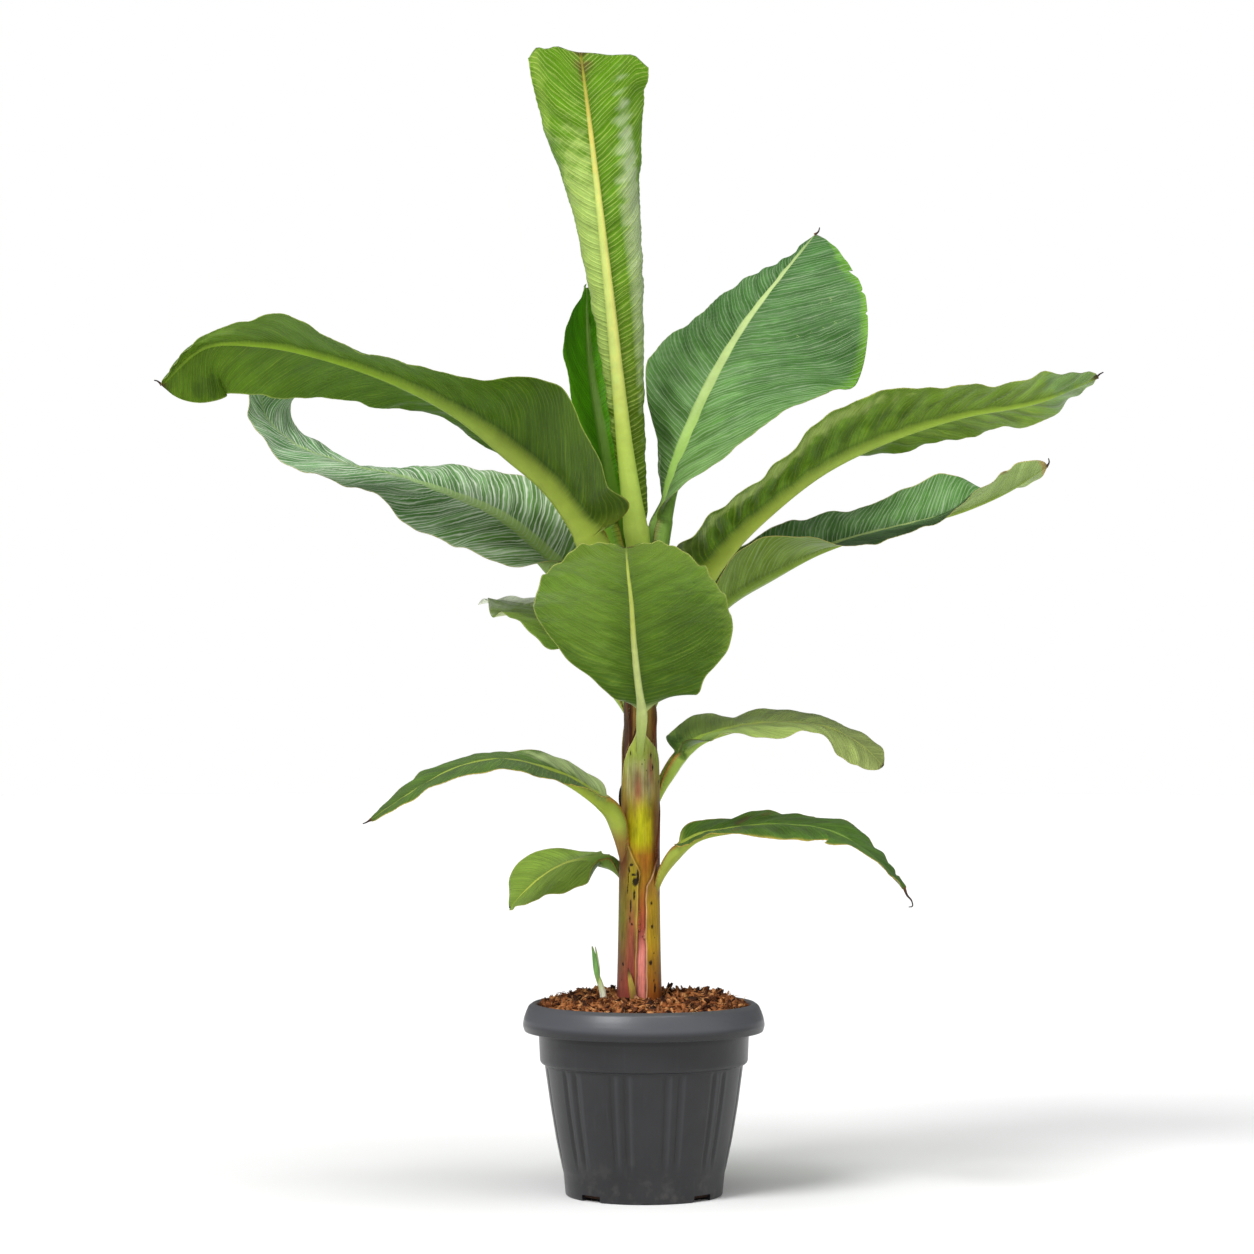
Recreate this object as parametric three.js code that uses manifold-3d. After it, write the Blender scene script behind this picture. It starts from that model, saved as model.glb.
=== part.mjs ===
import * as THREE from 'three';
import Module from 'manifold-3d';

// A banana plant in a nursery pot: pot, potting mix, pseudostem, thirteen leaves, a sucker and a
// dried sheath stub. Millimetres, +Z up. The origin is the middle of the pot's flat underside,
// and the front of the plant faces -Y.

// ---- driving dimensions ----------------------------------------------------------------

const GAP = 0.3; // clearance between neighbouring solids
const CUT_MARGIN = 0.25; // added where one leaf is cut clear of another
const CUT_TIDY = 0.03; // slivers thinner than this are dropped after a cut

// Pot: [radius, height] down the outside, from the top of the rolled rim to the foot.
const POT_SEGMENTS = 72;
const POT_RIM_TOP = 240;
const POT_OUTSIDE = [
  [138, POT_RIM_TOP], [144, 236], [147.5, 228], [150, 220.5], [151.3, 212], [149, 204.6],
  [146.5, 204.6], [145, 224], [134.5, 224], [131.5, 204], [130, 168], [128, 164.5],
  [123.8, 163.5], [123.8, 161], [117.5, 115], [110, 70], [102.6, 34], [100.8, 28], [98, 0],
];
const POT_INSIDE = [[134, 238], [128.5, 222], [127.5, 170], [120.5, 160], [100, 32], [95.5, 4]];
const POT_FLOOR = 4;
const FLUTE_ANGLES = [15, 40, 140, 165, 195, 220, 320, 345]; // degrees from +X
const FLUTE_DEPTH = 1.6;
const FLUTE_BOTTOM = 30;
const FLUTE_TOP = 162;
const NOTCH_COUNT = 4;
const NOTCH_TURN = 47.5; // degrees from +X to the first drain notch
const NOTCH_SIZE = { long: 34, wide: 30, tall: 8 };

// Potting mix: a low mound of bark and coir that rises a little above the rim.
const SOIL_SEGMENTS = 48;
const SOIL_RINGS = [0, 22, 36, 50, 66, 82, 98, 112, 122, 130.7];
const SOIL_EDGE = 231;
const SOIL_MOUND = 13;
const SOIL_BACK_RISE = 6;
const SOIL_LUMP = 1.8;

// Pseudostem: its outer radius at each height, up from the flat cut at the potting mix.
const STEM_CENTRE = new THREE.Vector2(-5, 0);
const STEM_SEGMENTS = 28;
const STEM_PROFILE = [
  [31, 235], [29.4, 242], [27.8, 300], [27, 345], [25.6, 450], [23.2, 560], [20, 620],
  [16, 680], [12.5, 740], [10, 790],
];
const POCKET_FLOOR = 234.7;

// Small pieces that stand in the potting mix beside the stem.
const SUCKER = { x: -50, y: -14, radius: 5, foot: 236, sheath: 26, height: 76, lean: -9 };
const STUB = { x: -16, y: -36.5, radius: 6.5, foot: 236, height: 30, lean: 3 };

// Section of a leaf, from its foot on the stem, along the stalk, to the tip of the blade.
const STALK_STEP = 40; // spacing of the sections along the stalk
const BLADE_SECTIONS = 14;
const BLADE_COLUMNS = 3; // columns between the midrib and each margin
const THICKNESS_RATIO = 0.0101; // blade thickness over the whole length
const TIP_THINNING = 0.55; // share of the thickness lost towards the tip
const LEAST_REACH = 0.3; // keeps the underside of a folded section on its own side
const KEEL = 1.7; // depth of the midrib under the blade, in midrib half widths
const WING = 1.35; // half width of the stalk's channel, in midrib half widths
const STALK_TILT = 48; // degrees, how far the channel's wings stand up
const STALK_CURL = 30;
const FOOT_BLEND = 55; // length over which a foot that hugs the stem becomes a channel
const HUG_ANGLE = 0.85; // most that half a foot reaches round the stem, in radians

// Colours as they look in even light.
const POT_GREY = 0x33363a;
const SOIL_BROWN = 0x5a3a28;
const STEM_OLIVE = 0x85794a;
const SPEAR_GREEN = 0x86b048;
const BLADE_GREEN = 0x5f8a36;
const WAXY_GREEN = 0x4d7849;
const DEEP_GREEN = 0x3d6a22;
const DRIED_BROWN = 0xa98a4c;

// Each leaf: `foot` is where it hugs the stem (azimuth in degrees from +X, and two heights),
// `spine` the points its midrib then passes, `blade_from` the length at which the blade begins,
// `stalk` the half width of the stalk, and `round` the share of the blade that rounds off at
// its base and tip. Each half blade has evenly spaced values from base to tip: `wide` is its
// width, `tilt` how far it rises towards the upper face, in degrees, and `curl` how far it
// turns further from the midrib to the margin.
const LEAVES = [
  {
    name: 'leaf_lower_left', colour: BLADE_GREEN, stalk: 8, blade_from: 176,
    foot: { azimuth: 205, low: 330, high: 420 },
    round: [0.08, 0.2],
    spine: [[-37, -36, 479], [-73, -62, 512], [-118, -90, 535], [-170, -118, 548], [-230, -142, 538],
      [-282, -158, 509], [-333, -166, 475]],
    left: {
      wide: [18, 26, 46, 66, 75, 72, 65, 54, 41],
      tilt: [14, 8, 4, 6, 15, 19, 24, 27, 24],
      curl: [-15],
    },
    right: {
      wide: [38, 54, 66, 74, 75, 72, 65, 54, 41],
      tilt: [26, 22, 12, 0, -6, -8, -7, -8, -12],
      curl: [-15],
    },
  },
  {
    name: 'leaf_lowest_left', colour: BLADE_GREEN, stalk: 7, blade_from: 98,
    foot: { azimuth: 140, low: 330, high: 385 },
    round: [0.12, 0.3],
    spine: [[-45, 38, 413], [-68, 56, 418], [-104, 84, 408], [-141, 110, 381], [-172, 124, 348]],
    left: {
      wide: [37, 44, 61, 69, 70, 66, 60, 50, 38],
      tilt: [-60, -50, -42, -36, -34, -33, -32, -30, -27],
      curl: [-10],
    },
    right: {
      wide: [17, 19, 43, 62, 67, 67, 62, 55, 41],
      tilt: [41, 24, 14, 18, 26, 45, 61, 74, 66],
      curl: [-10],
    },
  },
  {
    name: 'leaf_lower_right_low', colour: DEEP_GREEN, stalk: 7, blade_from: 129,
    foot: { azimuth: 335, low: 320, high: 380 },
    round: [0.08, 0.25],
    spine: [[35, -28, 424], [59, -50, 448], [111, -84, 462], [166, -112, 468], [226, -136, 461],
      [271, -152, 436], [316, -160, 391]],
    left: {
      wide: [37, 49, 63, 70, 70, 67, 61, 52, 41],
      tilt: [38, 12, 9, 3, -1, 0, -6, -9, -4],
      curl: [-15],
    },
    right: {
      wide: [25, 37, 59, 69, 71, 68, 61, 52, 41],
      tilt: [-4, 8, 17, 15, 11, 12, 24, 35, 29],
      curl: [-15],
    },
  },
  {
    name: 'leaf_lower_right_high', colour: BLADE_GREEN, stalk: 8, blade_from: 139,
    foot: { azimuth: 30, low: 420, high: 480 },
    round: [0.08, 0.25],
    spine: [[33, 28, 529], [62, 44, 563], [109, 66, 581], [173, 88, 588], [238, 104, 580],
      [279, 112, 558], [307, 116, 531]],
    left: {
      wide: [41, 53, 68, 72, 71, 67, 61, 53, 43],
      tilt: [29, 24, 19, 10, 17, 16, 17, 29, 51],
      curl: [-10],
    },
    right: {
      wide: [61, 69, 70, 73, 75, 68, 59, 51, 40],
      tilt: [14, 12, 3, -5, 2, -4, -23, -34, -48],
      curl: [-15],
    },
  },
  {
    name: 'leaf_front', colour: BLADE_GREEN, stalk: 8, blade_from: 182,
    foot: { azimuth: 270, low: 430, high: 545 },
    round: [0.1, 0.22],
    spine: [[-3, -50, 604], [-8, -88, 644], [-13, -145, 693], [-16, -215, 738], [-20, -295, 774],
      [-22, -365, 797], [-22, -400, 801]],
    left: {
      wide: [74, 81, 110, 121, 117, 109, 96, 83, 69],
      tilt: [-1, 1, 1, 2, 2, 0, -1, 3, 16],
      curl: [-10],
    },
    right: {
      wide: [27, 50, 85, 107, 118, 112, 99, 82, 64],
      tilt: [2, 5, 6, 7, 5, 1, 4, 3, 20],
      curl: [-10],
    },
  },
  {
    name: 'leaf_back_left', colour: DEEP_GREEN, stalk: 8, blade_from: 170,
    foot: { azimuth: 130, low: 525, high: 585 },
    round: [0.1, 0.2],
    spine: [[-55, 46, 657], [-91, 80, 703], [-126, 120, 728], [-166, 175, 740], [-203, 230, 742]],
    left: {
      wide: [51, 69, 80, 81, 72, 58, 40, 27, 40],
      tilt: [10, 9, 15, 11, 2, 14, 13, 12, 1],
      curl: [-10],
    },
    right: {
      wide: [56, 65, 66, 52, 24, 32, 49, 52, 49],
      tilt: [30, 29, 28, 28, 28, 14, 7, 9, 20],
      curl: [-10],
    },
  },
  {
    name: 'leaf_right_low', colour: WAXY_GREEN, stalk: 8.3, blade_from: 211,
    foot: { azimuth: 32, low: 545, high: 600 },
    round: [0.08, 0.14],
    spine: [[58, 32, 698], [109, 46, 746], [160, 60, 775], [224, 78, 808], [263, 90, 822],
      [327, 106, 838], [412, 122, 860], [470, 132, 885], [519, 136, 916]],
    left: {
      wide: [52, 58, 63, 79, 83, 79, 71, 59, 42],
      tilt: [34, 39, 37, 20, 12, 21, 35, -9, -38],
      curl: [-10],
    },
    right: {
      wide: [61, 80, 92, 94, 90, 83, 73, 56, 45],
      tilt: [53, 63, 42, 15, 15, 19, 36, 51, 62],
      curl: [-10],
    },
  },
  {
    name: 'leaf_left_twisted', colour: WAXY_GREEN, stalk: 11, blade_from: 208,
    foot: { azimuth: 152, low: 595, high: 650 },
    round: [0.08, 0.14],
    spine: [[-74, 40, 743], [-122, 56, 799], [-182, 74, 850], [-247, 92, 880], [-311, 108, 902],
      [-389, 124, 922], [-451, 136, 947], [-488, 140, 985], [-490, 132, 1036]],
    left: {
      wide: [62, 82, 93, 98, 93, 86, 78, 67, 57],
      tilt: [9, -14, -20, -19, -3, -3, -1, 8, 2],
      curl: [-10],
    },
    right: {
      wide: [47, 64, 87, 93, 98, 91, 78, 71, 59],
      tilt: [53, 43, 31, 20, 7, -6, 2, 10, 63],
      curl: [-10],
    },
  },
  {
    name: 'leaf_right_high', colour: BLADE_GREEN, stalk: 12, blade_from: 188,
    foot: { azimuth: 330, low: 600, high: 650 },
    round: [0.06, 0.1],
    spine: [[57, -27, 749], [104, -33, 815], [156, -38, 863], [218, -44, 908], [292, -52, 943],
      [390, -62, 973], [488, -70, 990], [559, -74, 1018]],
    left: {
      wide: [45, 66, 84, 98, 103, 98, 86, 72, 53],
      tilt: [32, 31, 30, 27, 19, 11, 11, 9, 18],
      curl: [-10],
    },
    right: {
      wide: [71, 86, 99, 109, 104, 95, 83, 69, 51],
      tilt: [8, 6, -4, 4, 12, 6, 1, 3, -2],
      curl: [-10],
    },
  },
  {
    name: 'leaf_left_high', colour: BLADE_GREEN, stalk: 14, blade_from: 196,
    foot: { azimuth: 215, low: 640, high: 700 },
    round: [0.06, 0.1],
    spine: [[-50, -30, 780], [-76, -40, 842], [-110, -46, 887], [-160, -56, 928], [-227, -66, 979],
      [-301, -74, 1016], [-387, -80, 1044], [-472, -86, 1059], [-539, -90, 1055], [-594, -92, 1007]],
    left: {
      wide: [89, 112, 128, 116, 111, 104, 96, 80, 57],
      tilt: [1, 7, 23, -3, -14, -15, -2, -17, -21],
      curl: [-10],
    },
    right: {
      wide: [74, 90, 103, 109, 109, 100, 89, 75, 76],
      tilt: [29, 27, 23, 23, 11, 1, -14, -25, -46],
      curl: [-10],
    },
  },
  {
    name: 'leaf_back_upper', colour: DEEP_GREEN, stalk: 12, blade_from: 153,
    foot: { azimuth: 128, low: 690, high: 750 },
    round: [0.15, 0.5],
    spine: [[-29, 36, 812], [-41, 52, 869], [-56, 76, 959], [-68, 104, 1037], [-73, 138, 1103],
      [-74, 166, 1149]],
    left: {
      wide: [62, 76, 88, 95, 96, 92, 84, 70, 53],
      tilt: [41, 28, 27, 22, 20, 21, 26, 36, 46],
      curl: [25],
    },
    right: {
      wide: [40, 50, 56, 60, 60, 56, 50, 44, 36],
      tilt: [50, 50, 50, 50, 50, 50, 50, 50, 50],
      curl: [25],
    },
  },
  {
    name: 'leaf_upper_right', colour: WAXY_GREEN, stalk: 10, blade_from: 163,
    foot: { azimuth: 38, low: 680, high: 745 },
    round: [0.18, 0.14],
    spine: [[16, 20, 812], [25, 30, 869], [58, 54, 960], [123, 114, 1089], [183, 160, 1170],
      [223, 190, 1220]],
    left: {
      wide: [4, 26, 50, 82, 111, 107, 97, 83, 65],
      tilt: [-23, -4, 23, 34, 24, 11, 7, -4, -15],
      curl: [-10],
    },
    right: {
      wide: [71, 94, 115, 136, 156, 167, 154, 116, 71],
      tilt: [38, 17, -1, -12, -28, -41, -32, -29, -25],
      curl: [-10],
    },
  },
  {
    name: 'leaf_spear', colour: SPEAR_GREEN, stalk: 9, blade_from: 40,
    foot: null,
    round: [0.05, 0],
    spine: [[-7, 0, 808], [-23, -8, 931], [-43, -18, 1119], [-57, -24, 1245], [-69, -28, 1346],
      [-79, -30, 1423]],
    left: {
      wide: [42, 62, 82, 98, 112, 109, 92, 82, 87],
      tilt: [0],
      curl: [165, 165, 165, 160, 150, 130, 95, 60, 35],
    },
    right: {
      wide: [24, 37, 45, 55, 68, 78, 80, 74, 71],
      tilt: [0],
      curl: [170, 170, 170, 170, 165, 150, 110, 65, 40],
    },
  },
];

// ---- helpers ---------------------------------------------------------------------------

const wasm = await Module();
wasm.setup();

const radians = THREE.MathUtils.degToRad;

function smooth(from, to, x) {
  return THREE.MathUtils.smoothstep(x, from, to);
}

// Value of evenly spaced keys at t from 0 to 1, on a Catmull-Rom curve.
function keyed(keys, t) {
  if (keys.length === 1) {
    return keys[0];
  }
  const at = THREE.MathUtils.clamp(t, 0, 1) * (keys.length - 1);
  const i = Math.min(Math.floor(at), keys.length - 2);
  const f = at - i;
  const a = keys[Math.max(i - 1, 0)];
  const b = keys[i];
  const c = keys[i + 1];
  const d = keys[Math.min(i + 2, keys.length - 1)];
  const m1 = (c - a) / 2;
  const m2 = (d - b) / 2;
  return b + m1 * f + (3 * (c - b) - 2 * m1 - m2) * f * f + (2 * (b - c) + m1 + m2) * f * f * f;
}

// Value of a [value, height] profile at a height.
function profileAt(profile, z) {
  for (let i = 1; i < profile.length; i += 1) {
    const [r0, z0] = profile[i - 1];
    const [r1, z1] = profile[i];
    if (z <= z1) {
      return r0 + ((r1 - r0) * Math.max(z - z0, 0)) / (z1 - z0);
    }
  }
  return profile[profile.length - 1][0];
}

// A closed solid from rings of equal length, capped at both ends by the flat caps given. The
// diagonals turn over halfway round, so that the two faces of a thin leaf bend alike.
function solidFromRings(rings, capOf) {
  const count = rings[0].length;
  const points = rings.flat();
  const triangles = [];
  for (let k = 0; k + 1 < rings.length; k += 1) {
    for (let j = 0; j < count; j += 1) {
      const a = k * count + j;
      const b = k * count + ((j + 1) % count);
      if (j < count / 2) {
        triangles.push([a, b, b + count], [a, b + count, a + count]);
      } else {
        triangles.push([a, b, a + count], [b, b + count, a + count]);
      }
    }
  }
  const last = (rings.length - 1) * count;
  for (const [a, b, c] of capOf(count)) {
    triangles.push([a, c, b], [last + a, last + b, last + c]);
  }
  return solid(points, triangles);
}

function fanCap(count) {
  return Array.from({ length: count - 2 }, (_, i) => [0, i + 1, i + 2]);
}

// Cap of a ring that runs out along the top of a section and back along its underside.
function stripCap(count) {
  const triangles = [];
  for (let i = 0; i < count / 2 - 1; i += 1) {
    const j = count - 1 - i;
    triangles.push([i, i + 1, j - 1], [i, j - 1, j]);
  }
  return triangles;
}

function solid(points, triangles) {
  const mesh = new wasm.Mesh({
    numProp: 3,
    vertProperties: new Float32Array(points.flatMap((p) => [p.x, p.y, p.z])),
    triVerts: new Uint32Array(triangles.flat()),
  });
  const body = new wasm.Manifold(mesh);
  return body.volume() < 0 ? flipped(points, triangles) : body;
}

function flipped(points, triangles) {
  return solid(points, triangles.map(([a, b, c]) => [a, c, b]));
}

function largest(body) {
  const parts = body.decompose();
  return parts.sort((a, b) => b.volume() - a.volume())[0];
}

function circleRing(radius, x, y, z, segments) {
  return Array.from({ length: segments }, (_, i) => {
    const angle = (i / segments) * 2 * Math.PI;
    return new THREE.Vector3(x + radius * Math.cos(angle), y + radius * Math.sin(angle), z);
  });
}

function cylinder(radius, x, y, low, high, segments = 32) {
  const rings = [circleRing(radius, x, y, low, segments), circleRing(radius, x, y, high, segments)];
  return solidFromRings(rings, fanCap);
}

const group = new THREE.Group();

function addMesh(name, body, colour, roughness) {
  const { vertProperties, triVerts } = body.getMesh();
  const geometry = new THREE.BufferGeometry();
  geometry.setAttribute('position', new THREE.BufferAttribute(vertProperties, 3));
  geometry.setIndex(new THREE.BufferAttribute(triVerts, 1));
  geometry.computeVertexNormals();
  const material = new THREE.MeshStandardMaterial({ color: colour, roughness, metalness: 0 });
  const mesh = new THREE.Mesh(geometry, material);
  mesh.name = name;
  group.add(mesh);
}

// ---- pot -------------------------------------------------------------------------------

function fluteDepth(degrees, z) {
  const near = Math.min(...FLUTE_ANGLES.map((a) => Math.abs(a - degrees)));
  const inBand = z > FLUTE_BOTTOM && z < FLUTE_TOP;
  return near < 1 && inBand ? FLUTE_DEPTH : 0;
}

function makePot() {
  const profile = [...POT_INSIDE].reverse().concat(POT_OUTSIDE);
  const rings = profile.map(([radius, z], k) =>
    Array.from({ length: POT_SEGMENTS }, (_, i) => {
      const degrees = (i / POT_SEGMENTS) * 360;
      const cut = k < POT_INSIDE.length ? 0 : fluteDepth(degrees, z);
      const angle = radians(degrees);
      return new THREE.Vector3((radius - cut) * Math.cos(angle), (radius - cut) * Math.sin(angle), z);
    }),
  );
  let pot = solidFromRings(rings, fanCap);
  const { long, wide, tall } = NOTCH_SIZE;
  for (let i = 0; i < NOTCH_COUNT; i += 1) {
    const turn = NOTCH_TURN + (i * 360) / NOTCH_COUNT;
    const notch = wasm.Manifold.cube([long, wide, 2 * tall], true)
      .translate([98, 0, 0])
      .rotate([0, 0, turn]);
    pot = pot.subtract(notch);
  }
  return pot;
}

// ---- potting mix -----------------------------------------------------------------------

function soilTop(x, y) {
  const r = Math.hypot(x, y) / 133;
  const mound = SOIL_MOUND * Math.sqrt(Math.max(1 - r * r, 0));
  const back = SOIL_BACK_RISE * (y / 133) * Math.max(1 - r * r * r * r, 0);
  const lumps = Math.sin(x * 0.11 + 1) * Math.cos(y * 0.13) + Math.sin(x * 0.05 - y * 0.17);
  return SOIL_EDGE + mound + back + SOIL_LUMP * lumps * Math.max(1 - r ** 6, 0);
}

function makeSoil() {
  const wall = POT_INSIDE.map(([radius, z]) => [radius - GAP, z]).reverse();
  wall[0][1] = POT_FLOOR + GAP;
  const points = [new THREE.Vector3(0, 0, POT_FLOOR + GAP)];
  const rings = [];
  for (const [radius, z] of wall.slice(0, -1)) {
    rings.push(circleRing(radius, 0, 0, z, SOIL_SEGMENTS));
  }
  for (const radius of SOIL_RINGS.slice(1).reverse()) {
    const ring = circleRing(radius, 0, 0, 0, SOIL_SEGMENTS);
    ring.forEach((p) => p.setZ(soilTop(p.x, p.y)));
    rings.push(ring);
  }
  rings.forEach((ring) => points.push(...ring));
  points.push(new THREE.Vector3(0, 0, soilTop(0, 0)));
  const triangles = [];
  const count = SOIL_SEGMENTS;
  const top = points.length - 1;
  const lastRing = 1 + (rings.length - 1) * count;
  for (let j = 0; j < count; j += 1) {
    const next = (j + 1) % count;
    triangles.push([0, 1 + next, 1 + j], [top, lastRing + j, lastRing + next]);
    for (let k = 0; k + 1 < rings.length; k += 1) {
      const a = 1 + k * count + j;
      const b = 1 + k * count + next;
      triangles.push([a, b, b + count], [a, b + count, a + count]);
    }
  }
  return solid(points, triangles);
}

// ---- pseudostem, sucker and stub -------------------------------------------------------

function makeStem(grow) {
  const rings = STEM_PROFILE.map(([radius, z]) =>
    circleRing(radius + grow, STEM_CENTRE.x, STEM_CENTRE.y, z, STEM_SEGMENTS),
  );
  rings[rings.length - 1].forEach((p) => p.setZ(p.z + grow));
  return solidFromRings(rings, fanCap);
}

// A small shoot: a tapering sheath with a narrow folded blade that opens from it.
function makeSucker() {
  const { x, y, radius, foot, sheath, height, lean } = SUCKER;
  const rings = [];
  const steps = 9;
  for (let k = 0; k <= steps; k += 1) {
    const t = k / steps;
    const z = foot + t * height;
    const belly = smooth(sheath / height, 1, t);
    const half = radius * (1 - 0.35 * t) * (1 - 0.8 * smooth(0.8, 1, t));
    const ring = circleRing(1, 0, 0, z, 10);
    ring.forEach((p) => {
      p.x = x + lean * t * t + p.x * half * (1 + 0.25 * belly);
      p.y = y + p.y * half * (1 - 0.55 * belly);
    });
    rings.push(ring);
  }
  return solidFromRings(rings, fanCap);
}

function makeStub() {
  const { x, y, radius, foot, height, lean } = STUB;
  const rings = [0, 0.4, 0.8, 1].map((t) => {
    const ring = circleRing(1, 0, 0, foot + t * height, 12);
    ring.forEach((p) => {
      const slant = t === 1 ? 4 * p.x : 0;
      p.z += slant;
      p.x = x + lean * t + p.x * radius * (1 - 0.15 * t);
      p.y = y + p.y * radius * 0.42;
    });
    return ring;
  });
  return solidFromRings(rings, fanCap);
}

// ---- leaves ----------------------------------------------------------------------------

function stemPoint(azimuth, z) {
  const radius = profileAt(STEM_PROFILE, z) + GAP + 0.1;
  const angle = radians(azimuth);
  return new THREE.Vector3(
    STEM_CENTRE.x + radius * Math.cos(angle), STEM_CENTRE.y + radius * Math.sin(angle), z,
  );
}

// Smooth line through the control points, sampled finely, with its length at each sample.
function traceSpine(controls) {
  const spans = controls.slice(1).map((p, i) => p.distanceTo(controls[i]));
  const slopes = controls.slice(1).map((p, i) => p.clone().sub(controls[i]).divideScalar(spans[i]));
  const tangents = controls.map((_, i) => {
    if (i === 0 || i === controls.length - 1) {
      return slopes[Math.min(i, slopes.length - 1)].clone();
    }
    const total = spans[i - 1] + spans[i];
    return slopes[i - 1].clone().multiplyScalar(spans[i] / total)
      .addScaledVector(slopes[i], spans[i - 1] / total);
  });
  const samples = [{ point: controls[0].clone(), length: 0 }];
  for (let i = 0; i + 1 < controls.length; i += 1) {
    for (let k = 1; k <= 24; k += 1) {
      const t = k / 24;
      const point = controls[i].clone().multiplyScalar(2 * t ** 3 - 3 * t ** 2 + 1)
        .addScaledVector(tangents[i], spans[i] * (t ** 3 - 2 * t ** 2 + t))
        .addScaledVector(controls[i + 1], 3 * t ** 2 - 2 * t ** 3)
        .addScaledVector(tangents[i + 1], spans[i] * (t ** 3 - t ** 2));
      const before = samples[samples.length - 1];
      samples.push({ point, length: before.length + point.distanceTo(before.point) });
    }
  }
  return samples;
}

// Frames along the spine: `along` runs to the tip, `up` out of the upper face, `side` right.
function frameSpine(samples, up) {
  let normal = up.clone();
  samples.forEach((sample, i) => {
    const before = samples[Math.max(i - 1, 0)].point;
    const after = samples[Math.min(i + 1, samples.length - 1)].point;
    sample.along = after.clone().sub(before).normalize();
    normal = normal.clone().addScaledVector(sample.along, -normal.dot(sample.along)).normalize();
    sample.up = normal;
    sample.side = sample.along.clone().cross(normal);
  });
}

function sampleAt(samples, length) {
  const i = Math.max(samples.findIndex((s) => s.length >= length), 1);
  const a = samples[i - 1];
  const b = samples[i];
  const f = THREE.MathUtils.clamp((length - a.length) / (b.length - a.length), 0, 1);
  const mix = (key) => a[key].clone().lerp(b[key], f);
  return { point: mix('point'), along: mix('along'), up: mix('up'), side: mix('side') };
}

// Sizes of one half of the section at a length along the leaf.
function halfSection(leaf, half, length, total) {
  const u = (length - leaf.blade_from) / (total - leaf.blade_from);
  const [base, tip] = leaf.round;
  const fromBase = 1 - THREE.MathUtils.clamp(u / base, 0, 1);
  const fromTip = tip > 0 ? 1 - THREE.MathUtils.clamp((1 - u) / tip, 0, 1) : 0;
  const ends = Math.sqrt(1 - fromBase ** 2) * Math.sqrt(1 - fromTip ** 2);
  let wing = leaf.stalk * WING * (1 - smooth(0, 0.9, u));
  const blade = u > 0 ? keyed(half.wide, u) * ends : 0;
  const inBlade = smooth(-0.04, 0.07, u);
  let tilt = STALK_TILT;
  let curl = STALK_CURL;
  if (leaf.foot) {
    const hug = leaf.foot.high - leaf.foot.low;
    const free = smooth(hug * 0.75, hug + FOOT_BLEND, length);
    const radius = profileAt(STEM_PROFILE, leaf.foot.low + length);
    const hugWide = Math.min(wing, radius * HUG_ANGLE);
    wing = hugWide + (wing - hugWide) * free;
    const wrap = THREE.MathUtils.radToDeg(wing / (radius + GAP));
    tilt = STALK_TILT * free;
    curl = wrap + (STALK_CURL - wrap) * free;
  }
  return {
    wide: Math.max(wing, blade, 2.5),
    tilt: radians(tilt + (keyed(half.tilt, u) - tilt) * inBlade),
    curl: radians(curl + (keyed(half.curl, u) - curl) * inBlade),
  };
}

// Points of the upper face and the underside across one half, from the midrib outwards.
function halfPoints(frame, size, sign, rib, thick, grow) {
  const stops = [0, Math.min(rib / size.wide, 0.5)];
  for (let k = 1; k <= BLADE_COLUMNS; k += 1) {
    stops.push(stops[1] + ((1 - stops[1]) * k) / BLADE_COLUMNS);
  }
  let x = 0;
  let y = 0;
  return stops.map((q, k) => {
    if (k > 0) {
      const middle = size.tilt + (size.curl * (q + stops[k - 1])) / 2;
      const step = (q - stops[k - 1]) * (size.wide + grow);
      x += step * Math.cos(middle);
      y += step * Math.sin(middle);
    }
    const slope = k === 0 ? 0 : size.tilt + size.curl * q;
    const depth = [Math.max(thick, rib * KEEL), thick + rib * 0.3][k] ?? thick;
    const place = (h) => frame.point.clone()
      .addScaledVector(frame.side, sign * Math.max(x - h * Math.sin(slope), x * LEAST_REACH))
      .addScaledVector(frame.up, y + h * Math.cos(slope));
    return { upper: place(grow), under: place(-depth - grow) };
  });
}

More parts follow.
